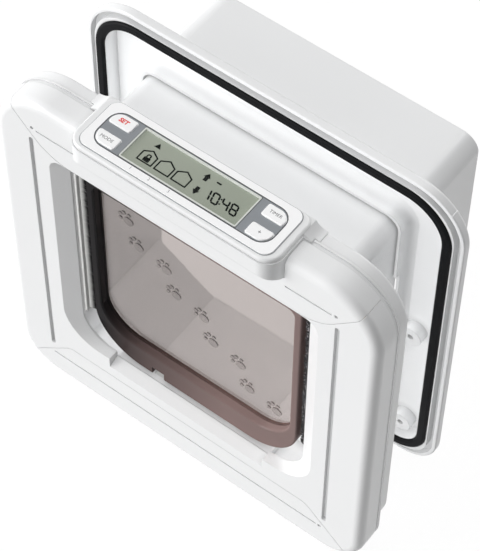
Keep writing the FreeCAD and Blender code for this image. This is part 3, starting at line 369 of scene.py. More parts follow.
def dress_flap():
    """A copy of the flap's own mesh, with a finish for the pane, one for the prints, one for the rim."""
    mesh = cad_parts["flap"].data.copy()
    mesh.name = "flap_moulding"
    mesh.materials.clear()
    for material in (
        smoke_clear("smoke clear", PANE_TINT, 0.03),
        smoke_clear("smoke print", PRINT_TINT, 0.25),
        smoke_deep_painted_shade(),
    ):
        mesh.materials.append(material)
    counts = [0, 0, 0]
    for face in mesh.polygons:
        x, y, z = face.center
        on_pane = abs(x) < PANE_HALF and PANE_LOW < z < PANE_TOP
        on_pane = on_pane and PRINT_FRONT - NEAR < y < PANE_BACK + NEAR
        if on_pane and abs(face.normal.y) > 0.9:
            face.material_index = 1 if y < PRINT_FRONT + NEAR else 0
        elif on_pane and y < PRINT_FRONT + 0.5 * MM:
            face.material_index = 1
        else:
            face.material_index = 2
        counts[face.material_index] += 1
    piece = bpy.data.objects.new("flap_moulding", mesh)
    scene.collection.objects.link(piece)
    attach(piece, "flap_panel")
    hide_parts("flap")
    print("flap faces: pane %d, prints %d, rim %d" % tuple(counts))


dress_flap()

# %% [markdown]
# The weather seal is a foam-backed rubber section. Rubber is dark, dull and slightly dusty on its
# high spots, so a fine noise lifts both its colour and its height.

# %% Rubber seal
def seal_rubber():
    material, tree, shader = new_finish("seal rubber", Specular_IOR_Level=0.1)
    place = tree.nodes.new("ShaderNodeTexCoord").outputs["Object"]
    pores = add_node(tree, "ShaderNodeTexNoise", Vector=place, Scale=900.0, Detail=3.0)
    bloom = add_node(tree, "ShaderNodeTexNoise", Vector=place, Scale=45.0, Detail=2.0)
    share = reckon(tree, "MULTIPLY", pores.outputs[0], bloom.outputs[0])
    tree.links.new(
        blend_colours(tree, share, rgb(6, 7, 9), rgb(20, 21, 24)), shader.inputs["Base Color"]
    )
    tree.links.new(reckon(tree, "MULTIPLY_ADD", bloom.outputs[0], 0.2, 0.5), shader.inputs["Roughness"])
    raise_bump(tree, shader, pores.outputs[0], 0.35, 0.0002)
    return material


dress(seal_rubber(), "weather_seal")

# %% [markdown]
# The control panel is a printed label plate with a grey field, a display under a clear window and
# four white keys. Print is matt and slightly uneven, keys are glossier than the plate. All inks
# share the fine dots of screen print, so these are one more node group.

# %% Panel finishes
def build_screen_print():
    group, given, result, place = new_group(
        "screen print", {"First": "Color", "Second": "Color"}, SURFACE
    )
    dots = add_node(group, "ShaderNodeTexVoronoi", Vector=place, Scale=3200.0)
    cloud = add_node(group, "ShaderNodeTexNoise", Vector=place, Scale=120.0, Detail=2.0)
    share = reckon(group, "MULTIPLY", dots.outputs["Distance"], cloud.outputs[0])
    group.links.new(blend_colours(group, share, given["First"], given["Second"]), result["Colour"])
    group.links.new(reckon(group, "MULTIPLY_ADD", cloud.outputs[0], 0.15, 0.4), result["Roughness"])
    group.links.new(dots.outputs["Distance"], result["Height"])
    return group


screen_print = build_screen_print()


def printed_ink(name, colour, second, shine=0.4):
    material, tree, shader = new_finish(name, Specular_IOR_Level=shine)
    ink = use_group(tree, screen_print, colour, second)
    tree.links.new(ink["Colour"], shader.inputs["Base Color"])
    tree.links.new(ink["Roughness"], shader.inputs["Roughness"])
    raise_bump(tree, shader, ink["Height"], 0.1, 0.00003)
    return material


label_white = moulded_plastic("label white", (0.95, 0.95, 0.955, 1.0), 0.38, 0.6)
key_white = moulded_plastic(
    "key white", (0.95, 0.95, 0.952, 1.0), 0.24, 0.5, Coat_Weight=0.2, Coat_Roughness=0.1
)
bezel_light = moulded_plastic("bezel light", rgb(214, 217, 212), 0.3, 0.5)
field_grey = printed_ink("field grey", rgb(131, 135, 139), rgb(141, 145, 150))
ink_black = printed_ink("ink black", rgb(62, 64, 66), rgb(78, 80, 82))
# Grey ink for the plate's numbers, also used for the painted shadow round the plate's foot.
ink_grey_and_painted_shadow = printed_ink("ink grey and painted shadow", rgb(128, 131, 134), rgb(146, 148, 150))
ink_red = printed_ink("ink red", rgb(214, 44, 40), rgb(226, 70, 60))
dress(label_white, "label_plate")
dress(field_grey, "panel_field")
dress(bezel_light, "display_bezel")
dress(key_white, "key_set", "key_mode", "key_timer", "key_plus")

# %% [markdown]
# A liquid crystal display without power behind it is a soft greenish grey. It is a little darker
# towards one edge, and a very fine grid of the cell's electrodes can be seen from close by. The
# window over it is clear, and it only shows by its gloss, so alpha does the work instead of
# refraction: the sun then still lights the display below it.

# %% Display
def display_face():
    material, tree, shader = new_finish("display face", Roughness=0.35, Specular_IOR_Level=0.4)
    place = tree.nodes.new("ShaderNodeTexCoord").outputs["Object"]
    parts = tree.nodes.new("ShaderNodeSeparateXYZ")
    tree.links.new(place, parts.inputs[0])
    along = tree.nodes.new("ShaderNodeMapRange")
    along.inputs["From Min"].default_value = cell_low[0]
    along.inputs["From Max"].default_value = cell_high[0]
    tree.links.new(parts.outputs[0], along.inputs["Value"])
    grid = add_node(tree, "ShaderNodeTexVoronoi", Vector=place, Scale=2500.0)
    mottle = add_node(tree, "ShaderNodeTexNoise", Vector=place, Scale=60.0, Detail=2.0)
    ground = blend_colours(tree, along.outputs["Result"], rgb(170, 176, 162), rgb(160, 167, 152))
    veil = reckon(tree, "MULTIPLY", mottle.outputs[0], 0.25)
    shade = blend_colours(tree, veil, ground, rgb(146, 153, 140))
    tree.links.new(shade, shader.inputs["Base Color"])
    raise_bump(tree, shader, grid.outputs["Distance"], 0.04, 0.00002)
    return material


def window_clear():
    material, tree, shader = new_finish("window clear", Alpha=0.06, IOR=1.45)
    place = tree.nodes.new("ShaderNodeTexCoord").outputs["Object"]
    smear = add_node(tree, "ShaderNodeTexNoise", Vector=place, Scale=80.0, Detail=2.0)
    tree.links.new(reckon(tree, "MULTIPLY_ADD", smear.outputs[0], 0.08, 0.04), shader.inputs["Roughness"])
    tree.links.new(
        blend_colours(tree, smear.outputs[0], rgb(60, 64, 60), rgb(48, 52, 48)),
        shader.inputs["Base Color"],
    )
    return material


dress(display_face(), "display_cell")
dress(window_clear(), "display_window")
lcd_black = printed_ink("lcd black", rgb(12, 14, 13), rgb(22, 25, 23), 0.05)

# %% [markdown]
# Behind the shells sit the parts that make the flap work. They can only be seen in views from
# odd sides, but a finish on each keeps the model whole. The circuit board gets a green solder mask
# with lighter lines and pads, the cable its parallel cores, the switches plain black plastic.

# %% Board, switches and cable
def solder_mask():
    material, tree, shader = new_finish("board green", Specular_IOR_Level=0.5)
    place = tree.nodes.new("ShaderNodeTexCoord").outputs["Object"]
    tracks = add_node(tree, "ShaderNodeTexBrick", Vector=place, Scale=160.0, Mortar_Size=0.06)
    pads = add_node(tree, "ShaderNodeTexVoronoi", Vector=place, Scale=240.0)
    pad = reckon(tree, "LESS_THAN", pads.outputs["Distance"], 0.16)
    green = blend_colours(tree, tracks.outputs["Fac"], rgb(24, 84, 52), rgb(44, 116, 74))
    tree.links.new(blend_colours(tree, pad, green, rgb(196, 190, 172)), shader.inputs["Base Color"])
    shader.inputs["Roughness"].default_value = 0.35
    raise_bump(tree, shader, tracks.outputs["Fac"], 0.2, 0.0001)
    return material


def ribbon_cable():
    material, tree, shader = new_finish("cable grey", Roughness=0.45)
    place = tree.nodes.new("ShaderNodeTexCoord").outputs["Object"]
    cores = add_node(tree, "ShaderNodeTexWave", Vector=place, Scale=260.0, Distortion=0.0)
    cores.bands_direction = "X"
    tree.links.new(
        blend_colours(tree, cores.outputs["Fac"], rgb(150, 152, 156), rgb(186, 188, 190)),
        shader.inputs["Base Color"],
    )
    raise_bump(tree, shader, cores.outputs["Fac"], 0.4, 0.0002)
    return material


dress(solder_mask(), "circuit_board")
dress(ribbon_cable(), "flat_cable")
switch_black = moulded_plastic("switch black", rgb(40, 40, 42), 0.4)
dress(switch_black, "key_switch_1", "key_switch_2", "key_switch_3", "key_switch_4")

# %% [markdown]
# All four cells share one finish. Counting cell lengths along X puts a dark jacket, a golden band
# and two bare metal ends on each of them, wherever it lies in the row.

# %% Cells and their tray
def cell_jacket():
    material, tree, shader = new_finish("cell jacket")
    low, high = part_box("cell_1")
    place = tree.nodes.new("ShaderNodeTexCoord").outputs["Object"]
    parts = tree.nodes.new("ShaderNodeSeparateXYZ")
    tree.links.new(place, parts.inputs[0])
    pitch = (high[0] - low[0]) + 0.1 * MM
    along = reckon(tree, "DIVIDE", reckon(tree, "SUBTRACT", parts.outputs[0], low[0]), pitch)
    share = reckon(tree, "FRACT", along)
    band = reckon(tree, "GREATER_THAN", share, 0.68)
    bare = reckon(tree, "GREATER_THAN", reckon(tree, "ABSOLUTE", reckon(tree, "SUBTRACT", share, 0.5)), 0.475)
    print_noise = add_node(tree, "ShaderNodeTexNoise", Vector=place, Scale=200.0, Detail=2.0)
    body_tone = blend_colours(tree, print_noise.outputs[0], rgb(36, 60, 96), rgb(48, 76, 116))
    jacket = blend_colours(tree, band, body_tone, rgb(206, 170, 84))
    tree.links.new(blend_colours(tree, bare, jacket, rgb(196, 198, 200)), shader.inputs["Base Color"])
    tree.links.new(bare, shader.inputs["Metallic"])
    shader.inputs["Roughness"].default_value = 0.3
    raise_bump(tree, shader, print_noise.outputs[0], 0.05, 0.0001)
    return material


dress(cell_jacket(), "cell_1", "cell_2", "cell_3", "cell_4")
dress(moulded_plastic("tray white", (0.74, 0.745, 0.74, 1.0), 0.45), "battery_tray")

# %% [markdown]
# The metal parts differ in tone and in the way their lines run: round the rod and along the
# solenoids, and hardly at all on the magnets. The coil is enamelled copper, so it has turns, a
# warm colour and a clear coat.

# %% Metal parts
STEEL_DARK = (0.42, 0.43, 0.45, 1.0)
STEEL_LIGHT = (0.66, 0.67, 0.69, 1.0)
spring_steel = ground_metal("spring steel", STEEL_DARK, STEEL_LIGHT, (300, 1500, 1500))
rod_steel = ground_metal("rod steel", STEEL_DARK, (0.74, 0.75, 0.76, 1.0), (60, 2400, 2400))
dress(spring_steel, "battery_spring", "battery_contact", "shell_screws")
dress(rod_steel, "hinge_rod")
magnet_nickel = ground_metal(
    "magnet nickel", (0.56, 0.54, 0.50, 1.0), (0.76, 0.74, 0.70, 1.0), (500, 500, 500)
)
dress(magnet_nickel, "flap_magnet", "sill_magnet")
solenoid_steel = ground_metal(
    "solenoid steel", (0.34, 0.35, 0.37, 1.0), (0.58, 0.59, 0.60, 1.0), (900, 900, 90)
)
dress(solenoid_steel, "solenoid_in", "solenoid_out")


def coil_copper():
    material, tree, shader = new_finish("coil copper", Metallic=0.85, Coat_Weight=0.5, Coat_Roughness=0.2)
    place = tree.nodes.new("ShaderNodeTexCoord").outputs["Object"]
    turns = add_node(tree, "ShaderNodeTexWave", Vector=place, Scale=900.0, Distortion=0.4)
    turns.bands_direction = "Y"
    tree.links.new(
        blend_colours(tree, turns.outputs["Fac"], (0.36, 0.12, 0.05, 1.0), (0.78, 0.36, 0.18, 1.0)),
        shader.inputs["Base Color"],
    )
    tree.links.new(reckon(tree, "MULTIPLY_ADD", turns.outputs["Fac"], 0.2, 0.25), shader.inputs["Roughness"])
    raise_bump(tree, shader, turns.outputs["Fac"], 0.6, 0.0002)
    return material


dress(coil_copper(), "antenna_coil")
bolt_plastic = moulded_plastic("bolt plastic", rgb(205, 206, 204), 0.35)
dress(bolt_plastic, "latch_bolt_in", "latch_bolt_out")

# %% [markdown]
# Pieces that are modelled here are finished the same way each time: the bmesh becomes a mesh, the
# object sits unturned at the origin, gets its material, and rides on the body that carries it.

# %% Finish a modelled piece
def finish_piece(name, sculpt, material, body, smooth=False):
    bmesh.ops.recalc_face_normals(sculpt, faces=sculpt.faces[:])
    mesh = bpy.data.meshes.new(name)
    sculpt.to_mesh(mesh)
    sculpt.free()
    mesh.materials.append(material)
    for face in mesh.polygons:
        face.use_smooth = smooth
    piece = bpy.data.objects.new(name, mesh)
    scene.collection.objects.link(piece)
    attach(piece, body)
    print(name, len(mesh.polygons), "faces")
    return piece


def place_all(sculpt, move, turn=0.0, size=1.0):
    shift = Matrix.Translation(Vector(move)) @ Matrix.Rotation(turn, 4, "Z") @ Matrix.Scale(size, 4)
    bmesh.ops.transform(sculpt, matrix=shift, verts=sculpt.verts[:])

# %% [markdown]
# Printed marks stand a few hundredths of a millimetre above what they are printed on. A flat
# shape starts as a one-face grid, its corners are rounded with a bevel, an inset leaves only its
# outline, and an extrude gives it its small thickness.

# %% Flat shapes for the prints
PRINT_DEEP = 0.04 * MM


def flat_sheet(wide, deep, radius=0.0):
    sculpt = bmesh.new()
    bmesh.ops.create_grid(sculpt, x_segments=1, y_segments=1, size=0.5)
    bmesh.ops.scale(sculpt, vec=(wide, deep, 1.0), verts=sculpt.verts[:])
    if radius > 0:
        bmesh.ops.bevel(
            sculpt,
            geom=sculpt.verts[:],
            offset=radius,
            affect="VERTICES",
            segments=6,
            profile=0.5,
            material=-1,
        )
    return sculpt


def keep_outline(sculpt, width):
    kept = bmesh.ops.inset_region(
        sculpt, faces=sculpt.faces[:], thickness=width, use_even_offset=True, use_boundary=True
    )
    ring = set(kept["faces"])
    bmesh.ops.delete(sculpt, geom=[face for face in sculpt.faces if face not in ring], context="FACES")


def give_depth(sculpt, deep=PRINT_DEEP):
    raised = bmesh.ops.extrude_face_region(sculpt, geom=sculpt.faces[:])
    moved = [part for part in raised["geom"] if isinstance(part, bmesh.types.BMVert)]
    bmesh.ops.translate(sculpt, vec=(0, 0, deep), verts=moved)


def join_into(whole, part):
    mesh = bpy.data.meshes.new("part")
    part.to_mesh(mesh)
    part.free()
    whole.from_mesh(mesh)
    bpy.data.meshes.remove(mesh)

# %% [markdown]
# Three thin outlines frame the panel: a dark one round the grey field, a dark one round the
# display, and a grey one at the foot of the plate, a painted shadow of the gap where it meets the
# lid. Each is worked out from the box of what it frames.

# %% Lines round the field and the plate
def outline_piece(name, low, high, grow, width, radius, height, material):
    middle = ((low[0] + high[0]) / 2, (low[1] + high[1]) / 2)
    wide = high[0] - low[0] + 2 * grow
    deep = high[1] - low[1] + 2 * grow
    sculpt = flat_sheet(wide, deep, radius)
    keep_outline(sculpt, width)
    give_depth(sculpt)
    place_all(sculpt, (middle[0], middle[1], height))
    finish_piece(name, sculpt, material, "inside_unit")


outline_piece(
    "field_line", field_low, field_high, 0.35 * MM, 0.55 * MM, 7.2 * MM, plate_high[2], ink_black
)
outline_piece(
    "bezel_line", bezel_low, bezel_high, 0.3 * MM, 0.3 * MM, 0.4 * MM, plate_high[2] + 0.01 * MM, ink_black
)
# Painted shadow: a grey ring where the plate meets the lid.
outline_piece(
    "plate_gap_painted_shadow", plate_low, plate_high, 0.5 * MM, 0.5 * MM, 5.4 * MM, plate_low[2] + 0.01 * MM, ink_grey_and_painted_shadow
)

# %% [markdown]
# The display shows generic signs: three houses in a row, the first with a padlock inside and an
# arrowhead above, two arrows, a small mark and the time in seven-segment figures. Each sign is a
# flat shape a hair above the cell, under the clear window. A house is a square sheet whose upper
# edge is split and its new corner pulled up into a roof. Places are in millimetres from the
# frame's origin, sizes follow from what a display of this length shows.

# %% Signs on the display
SIGN_HEIGHT = cell_high[2] + 0.01 * MM
HOUSE_Y = 5.15
FIGURE_Y = 5.9
FIGURE_LEAN = -0.26


def house_sign(wide, eaves, ridge_high, line):
    sculpt = flat_sheet(wide, eaves)
    top = [edge for edge in sculpt.edges if all(vert.co.y > 0 for vert in edge.verts)]
    split = bmesh.ops.subdivide_edges(sculpt, edges=top, cuts=1)
    ridge = [part for part in split["geom_inner"] if isinstance(part, bmesh.types.BMVert)]
    bmesh.ops.translate(sculpt, vec=(0, ridge_high - eaves, 0), verts=ridge)
    keep_outline(sculpt, line)
    return sculpt


def arrow_head(wide, high):
    sculpt = bmesh.new()
    bmesh.ops.create_circle(sculpt, cap_ends=True, segments=3, radius=0.5)
    across = max(vert.co.x for vert in sculpt.verts) - min(vert.co.x for vert in sculpt.verts)
    along = max(vert.co.y for vert in sculpt.verts) - min(vert.co.y for vert in sculpt.verts)
    bmesh.ops.scale(sculpt, vec=(wide / across, high / along, 1), verts=sculpt.verts[:])
    return sculpt


def arrow_sign(size, point_up):
    sculpt = flat_sheet(size * 0.42, size * 0.5)
    place_all(sculpt, (0, -size * 0.25, 0))
    head = arrow_head(size * 0.78, size * 0.56)
    place_all(head, (0, size * 0.16, 0))
    join_into(sculpt, head)
    if not point_up:
        place_all(sculpt, (0, 0, 0), math.pi)
    return sculpt


def padlock_sign(size):
    sculpt = flat_sheet(size, size * 0.74, size * 0.12)
    bow = flat_sheet(size * 0.7, size * 0.9, size * 0.3)
    keep_outline(bow, size * 0.2)
    place_all(bow, (0, size * 0.5, 0))
    join_into(sculpt, bow)
    return sculpt


SEGMENTS = {"0": "abcdef", "1": "bc", "4": "bcfg", "8": "abcdefg"}
BAR_PLACES = {
    "a": (0.0, 1.0, False),
    "b": (0.5, 0.5, True),
    "c": (0.5, -0.5, True),
    "d": (0.0, -1.0, False),
    "e": (-0.5, -0.5, True),
    "f": (-0.5, 0.5, True),
    "g": (0.0, 0.0, False),
}


def figure_sign(figure, wide, high, line):
    sculpt = bmesh.new()
    for letter in SEGMENTS[figure]:
        across, up, upright = BAR_PLACES[letter]
        long_side = (high / 2 if upright else wide) - line * 0.25
        bar = flat_sheet(long_side, line, line * 0.42)
        place_all(bar, (across * wide, up * high / 2, 0), math.pi / 2 if upright else 0.0)
        join_into(sculpt, bar)
    return sculpt


def show_sign(name, sculpt, x, y, lean=0.0):
    if lean:
        slant = Matrix.Shear("XY", 4, (0.0, 0.0))
        slant[0][1] = lean
        bmesh.ops.transform(sculpt, matrix=slant, verts=sculpt.verts[:])
    give_depth(sculpt)
    place_all(sculpt, (x * MM, y * MM, SIGN_HEIGHT))
    finish_piece(name, sculpt, lcd_black, "inside_unit")


for number, across in enumerate((-22.3, -12.4, -2.7), start=1):
    house = house_sign(8.7 * MM, 5.9 * MM, 8.4 * MM, 0.75 * MM)
    show_sign("house_sign_%d" % number, house, across, HOUSE_Y)
show_sign("padlock_sign", padlock_sign(3.5 * MM), -22.2, 4.5)
show_sign("arrow_in_sign", arrow_head(3.6 * MM, 2.8 * MM), -22.4, 13.6)
show_sign("arrow_up_sign", arrow_sign(4.6 * MM, True), 6.0, 13.2)
show_sign("arrow_down_sign", arrow_sign(4.6 * MM, False), 6.4, 4.4)
show_sign("small_mark", flat_sheet(2.6 * MM, 0.9 * MM, 0.2 * MM), 12.5, 13.7)
for figure, across in (("1", 11.4), ("0", 16.3), ("4", 21.8), ("8", 26.6)):
    digit = figure_sign(figure, 3.2 * MM, 5.5 * MM, 0.95 * MM)
    show_sign("figure_%s" % figure, digit, across, FIGURE_Y, FIGURE_LEAN)
colon = flat_sheet(0.8 * MM, 0.8 * MM, 0.1 * MM)
place_all(colon, (-0.3 * MM, 1.3 * MM, 0))
lower_dot = flat_sheet(0.8 * MM, 0.8 * MM, 0.1 * MM)
place_all(lower_dot, (0.3 * MM, -1.3 * MM, 0))
join_into(colon, lower_dot)
show_sign("colon_sign", colon, 19.1, FIGURE_Y)

# %% [markdown]
# Key legends and the plate's plain numbers are set in Blender's own font. Text becomes a mesh
# first, then it is moved onto its key, so the object itself stays at the origin. The keys are the
# highest solids, so their ink is only a hundredth of a millimetre thick.

# %% Printed words and numbers
INK_DEEP = 0.01 * MM


def print_text(name, words, x, y, height, size, material, body, lean=0.0, weight=0.0):
    curve = bpy.data.curves.new(name, "FONT")
    curve.body = words
    curve.size = size
    curve.align_x = "CENTER"
    curve.align_y = "CENTER"
    curve.shear = lean
    curve.offset = weight
    curve.extrude = INK_DEEP / 2
    curve.resolution_u = 3
    holder = bpy.data.objects.new(name + "_curve", curve)
    scene.collection.objects.link(holder)
    bpy.context.view_layer.update()
    mesh = bpy.data.meshes.new_from_object(holder.evaluated_get(bpy.context.evaluated_depsgraph_get()))
    bpy.data.objects.remove(holder)
    sculpt = bmesh.new()
    sculpt.from_mesh(mesh)
    bpy.data.meshes.remove(mesh)
    bmesh.ops.remove_doubles(sculpt, verts=sculpt.verts[:], dist=0.000001)
    place_all(sculpt, (x, y, height + INK_DEEP / 2))
    finish_piece(name, sculpt, material, body)


def key_middle(node):
    low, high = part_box(node)
    return (low[0] + high[0]) / 2, (low[1] + high[1]) / 2, high[2]


x, y, top = key_middle("key_set")
print_text("set_legend", "SET", x, y, top, 3.2 * MM, ink_red, "button_set", 0.2, 0.00014)
x, y, top = key_middle("key_timer")
print_text("timer_legend", "TIMER", x, y, top, 2.5 * MM, ink_black, "button_timer")
x, y, top = key_middle("key_plus")
print_text("plus_legend", "+", x, y, top, 3.4 * MM, ink_black, "button_plus")
x, y, top = key_middle("key_mode")
print_text("mode_legend", "MODE", x, y, top, 2.6 * MM, ink_black, "button_mode")
NUMBER_Y = -4.3 * MM
for words, across in (("1", -24.4), ("2", -13.8), ("3", -2.6)):
    print_text(
        "plate_number_" + words,
        words,
        across * MM,
        NUMBER_Y,
        plate_high[2],
        2.4 * MM,
        ink_grey_and_painted_shadow,
        "inside_unit",
    )

# %% [markdown]
# Brush strips close the gap beside the flap. On the real part, thousands of short fibres stand in
# a woven backing. Here a row of thin cones does it: each has only five sides, their lengths and
# leans differ a little, and the seed is fixed, so every run gives the same brush. Both strips are
# the same black brush. The left one carries painted light: pale at the backing, fading through grey
# at the fibre roots into the fibres' black at the tips. The other one is black throughout. Both carry
# bright specks, painted glints where fibre ends catch the light, more of them on the right strip.

# %% Finish: brush pile
FIBRE_BLACK = rgb(16, 14, 17)
# A painted glint colour for fibre ends, and a painted light for the left strip's root.
FIBRE_GLINT = rgb(176, 172, 176)
ROOT_PAINTED_LIGHT = rgb(244, 244, 242)


def build_pile_glints():
    group, given, result, place = new_group("pile glints", {"Limit": "Float"}, SURFACE)
    specks = add_node(group, "ShaderNodeTexNoise", Vector=place, Scale=1500.0, Detail=2.0)
    # Painted glints: bright specks where the noise passes the limit.
    light = reckon(group, "GREATER_THAN", specks.outputs[0], given["Limit"])
    group.links.new(blend_colours(group, light, FIBRE_BLACK, FIBRE_GLINT), result["Colour"])
    group.links.new(reckon(group, "MULTIPLY_ADD", specks.outputs[0], 0.2, 0.6), result["Roughness"])
    group.links.new(specks.outputs[0], result["Height"])
    return group


pile_glints = build_pile_glints()


def pile_finish(name, glint_limit, root_x=None, tip_x=None):
    material, tree, shader = new_finish(name, Specular_IOR_Level=0.15, Sheen_Weight=0.1)
    pile = use_group(tree, pile_glints, glint_limit)
    shade = pile["Colour"]
    if root_x is not None:
        place = tree.nodes.new("ShaderNodeTexCoord").outputs["Object"]
        parts = tree.nodes.new("ShaderNodeSeparateXYZ")
        tree.links.new(place, parts.inputs[0])
        along = tree.nodes.new("ShaderNodeMapRange")
        along.inputs["From Min"].default_value = root_x
        along.inputs["From Max"].default_value = tip_x
        tree.links.new(parts.outputs[0], along.inputs["Value"])
        # Painted light: pale at the root, fading into the fibre colour towards the tip.
        shade = blend_colours(tree, along.outputs["Result"], ROOT_PAINTED_LIGHT, shade)
    tree.links.new(shade, shader.inputs["Base Color"])
    tree.links.new(pile["Roughness"], shader.inputs["Roughness"])
    raise_bump(tree, shader, pile["Height"], 0.5, 0.0003)
    return material


root_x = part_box("pile_strip_left")[0][0]
# The left strip: painted light, pale at the backing and fading into the fibres' black over 4.6 mm.
painted_light_pile = pile_finish("painted light pile", 0.8, root_x, root_x + 4.6 * MM)
dark_pile = pile_finish("dark pile", 0.62)

# %% [markdown]
# The backing is a bar with rounded edges against the frame. The fibres stand on it in four rows,
# and their tips end just short of the flap.

# %% Brush strips
BACKING_THICK = 1.4 * MM
FIBRE_ROWS = 4
FIBRES_IN_ROW = 86
ROW_PITCH = 1.15 * MM
END_SPACE = 2.2 * MM
ROOT_RADIUS = 0.95 * MM
TIP_RADIUS = 0.25 * MM
MOST_LEAN = 0.12


def brush_strip(name, node, outward, finish):
    low, high = (Vector(corner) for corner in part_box(node))
    middle = (low + high) / 2
    strip = bmesh.new()
    bmesh.ops.create_cube(strip, size=1.0)
    bmesh.ops.scale(strip, vec=(BACKING_THICK, high.y - low.y, high.z - low.z), verts=strip.verts[:])
    outer = high.x if outward > 0 else low.x
    bmesh.ops.translate(
        strip, vec=(outer - outward * BACKING_THICK / 2, middle.y, middle.z), verts=strip.verts[:]
    )
    bmesh.ops.bevel(
        strip,
        geom=strip.edges[:],
        offset=0.25 * MM,
        affect="EDGES",
        segments=2,
        profile=0.5,
        material=-1,
    )
    dice = random.Random(7)
    reach = high.x - low.x - BACKING_THICK
    root = outer - outward * (BACKING_THICK - 0.1 * MM)
    for row in range(FIBRE_ROWS):
        for step in range(FIBRES_IN_ROW):
            fibre = bmesh.new()
            bmesh.ops.create_cone(
                fibre,
                cap_ends=True,
                segments=5,
                radius1=ROOT_RADIUS,
                radius2=TIP_RADIUS,
                depth=reach * dice.uniform(0.86, 0.98),
            )
            longest = max(vert.co.z for vert in fibre.verts)
            bmesh.ops.translate(fibre, vec=(0, 0, longest), verts=fibre.verts[:])
            lean = Matrix.Rotation(dice.uniform(-MOST_LEAN, MOST_LEAN), 4, "X")
            aim = Matrix.Rotation(-outward * math.pi / 2, 4, "Y")
            y_place = middle.y + (row - (FIBRE_ROWS - 1) / 2) * ROW_PITCH
            climb = (high.z - low.z - 2 * END_SPACE) / (FIBRES_IN_ROW - 1)
            z_place = low.z + END_SPACE + step * climb
            spot = Matrix.Translation(Vector((root, y_place, z_place)))
            bmesh.ops.transform(fibre, matrix=spot @ aim @ lean, verts=fibre.verts[:])
            join_into(strip, fibre)
    piece = finish_piece(name, strip, finish, "inside_unit", smooth=True)
    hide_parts(node)


brush_strip("brush_left", "pile_strip_left", -1, painted_light_pile)
brush_strip("brush_right", "pile_strip_right", 1, dark_pile)

# %% [markdown]
# The mould of the outside frame parts at the corners of its rim. That leaves a fine raised line
# across the round wall, halfway round the corner. A thin bar with rounded edges makes it: half of
# its thickness is sunk in the wall, and it is turned to lie flat on the round. Its white is lighter
# than the shell's, a painted highlight that keeps the line bright on the shaded wall.

# %% Mould line on the outside frame
CORNER_ROUND = 30 * MM
RIM_MIDDLE = 4.9 * MM
LINE_SIZE = (0.36 * MM, 4.2 * MM, 0.6 * MM)


def mould_line(name):
    seal_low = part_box("weather_seal")[0]
    rim_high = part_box("outside_frame")[1]
    turn = math.radians(45)
    bar = bmesh.new()
    bmesh.ops.create_cube(bar, size=1.0)
    bmesh.ops.scale(bar, vec=LINE_SIZE, verts=bar.verts[:])
    bmesh.ops.bevel(
        bar,
        geom=bar.edges[:],
        offset=0.12 * MM,
        affect="EDGES",
        segments=3,
        profile=0.5,
        material=-1,
    )
    spot = Vector(
        (
            rim_high[0] - CORNER_ROUND + CORNER_ROUND * math.cos(turn),
            seal_low[1] + RIM_MIDDLE,
            rim_high[2] - CORNER_ROUND + CORNER_ROUND * math.sin(turn),
        )
    )
    stand = Matrix.Translation(spot) @ Matrix.Rotation(-turn, 4, "Y")
    bmesh.ops.transform(bar, matrix=stand, verts=bar.verts[:])
    # Painted highlight: a lighter white than the shell, so the line shows bright.
    line_painted_highlight = moulded_plastic("line painted highlight", (0.95, 0.955, 0.96, 1.0), 0.3, 0.5)
    finish_piece(name, bar, line_painted_highlight, "outside_unit", smooth=True)


mould_line("mould_line")

# %% [markdown]
# The camera looks down at the inside face from its upper right. A long lens keeps the far frame
# nearly as large as the near one. The three directions below are the camera's own right, up and
# back, and its place, all in metres.

# %% Camera
CAMERA_PLACE = Vector((0.39111, -0.47817, 0.93420))
CAMERA_RIGHT = Vector((0.79707, 0.60385, 0.00556))
CAMERA_UP = Vector((-0.49833, 0.65253, 0.57086))
CAMERA_BACK = Vector((0.34109, -0.45779, 0.82103))

lens = bpy.data.cameras.new("long lens")
lens.lens = 149.06
lens.sensor_width = 36.0
lens.clip_start = 0.01
camera = bpy.data.objects.new("camera", lens)
stand = Matrix((CAMERA_RIGHT, CAMERA_UP, CAMERA_BACK)).transposed().to_4x4()
stand.translation = CAMERA_PLACE
camera.matrix_world = stand
scene.collection.objects.link(camera)
scene.camera = camera
print("camera at", [round(part, 3) for part in camera.location])

# %% [markdown]
# The light is a studio's: an even sky, one large soft lamp from the front left, a strong fill from the
# same side that throws no shadow, and a weaker light from behind and above for the tunnel and the
# hood. The levels add up so that the front shows nearly the colour it is given. The backdrop is
# white only for rays that reach the eye, so it adds nothing to the light on the object.

# %% Lights and backdrop
KEY_AIM = Vector((0.70, 0.665, -0.26))
BACK_AIM = Vector((0.0, -0.8, -0.6))
AMBIENT = 0.37


def add_sun(name, aim, strength, spread, casts):
    sun = bpy.data.lights.new(name, "SUN")
    sun.energy = strength
    sun.angle = math.radians(spread)
    sun.use_shadow = casts
    lamp = bpy.data.objects.new(name, sun)
    lamp.rotation_mode = "QUATERNION"
    lamp.rotation_quaternion = aim.to_track_quat("-Z", "Y")
    scene.collection.objects.link(lamp)


add_sun("soft key", KEY_AIM, 1.0, 40, True)
add_sun("even fill", KEY_AIM, 2.5, 30, False)
add_sun("back light", BACK_AIM, 1.4, 40, False)

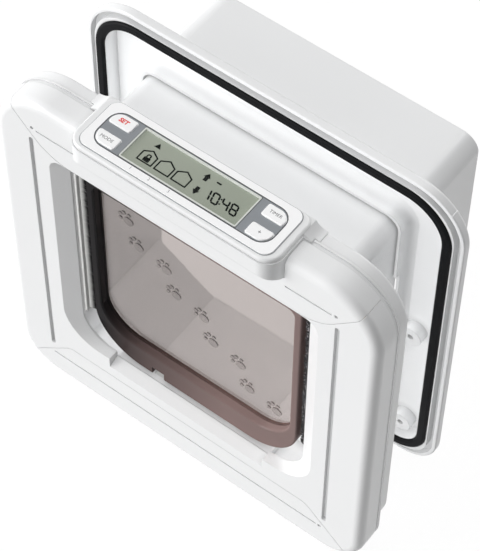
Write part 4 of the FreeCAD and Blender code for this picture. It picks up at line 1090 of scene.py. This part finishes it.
world = bpy.data.worlds.new("studio")
world.use_nodes = True
scene.world = world
sky = world.node_tree
sky.nodes.clear()
rays = sky.nodes.new("ShaderNodeLightPath")
seen = reckon(sky, "MAXIMUM", rays.outputs["Is Camera Ray"], rays.outputs["Is Glossy Ray"])
seen = reckon(sky, "MAXIMUM", seen, rays.outputs["Is Transmission Ray"])
level = reckon(sky, "MULTIPLY_ADD", seen, 1.0 - AMBIENT, AMBIENT)
backdrop = add_node(sky, "ShaderNodeBackground", Color=(1.0, 1.0, 1.0, 1.0), Strength=level)
sky_out = sky.nodes.new("ShaderNodeOutputWorld")
sky.links.new(backdrop.outputs[0], sky_out.inputs[0])

# %% [markdown]
# The floor is a plain sheet just under the lowest edge. The lamps alone would leave it grey, and
# it gets the rest of its white as a lift for the eye alone. So it reads as white paper, throws
# little light back on the object, and still takes the object's soft shadow.

# %% Floor
FLOOR_HALF = 4.0
FLOOR_TONE = (0.25, 0.25, 0.25, 1.0)
FLOOR_LIFT = 0.78


def pale_floor():
    sculpt = bmesh.new()
    bmesh.ops.create_grid(sculpt, x_segments=1, y_segments=1, size=FLOOR_HALF)
    bmesh.ops.translate(sculpt, vec=(0, 0, cad_box[0][2] - 0.05 * MM), verts=sculpt.verts[:])
    mesh = bpy.data.meshes.new("floor")
    sculpt.to_mesh(mesh)
    sculpt.free()
    material, tree, shader = new_finish("floor paper", Roughness=0.9, Specular_IOR_Level=0.0)
    shader.inputs["Base Color"].default_value = FLOOR_TONE
    shader.inputs["Emission Color"].default_value = (1.0, 1.0, 1.0, 1.0)
    eye = tree.nodes.new("ShaderNodeLightPath")
    seen = reckon(tree, "MAXIMUM", eye.outputs["Is Camera Ray"], eye.outputs["Is Glossy Ray"])
    seen = reckon(tree, "MAXIMUM", seen, eye.outputs["Is Transmission Ray"])
    tree.links.new(reckon(tree, "MULTIPLY", seen, FLOOR_LIFT), shader.inputs["Emission Strength"])
    mesh.materials.append(material)
    floor = bpy.data.objects.new("floor", mesh)
    scene.collection.objects.link(floor)


pale_floor()

# %% [markdown]
# Colours go to the screen as they are, through the Standard view.

# %% Colour view
scene.view_settings.view_transform = "Standard"
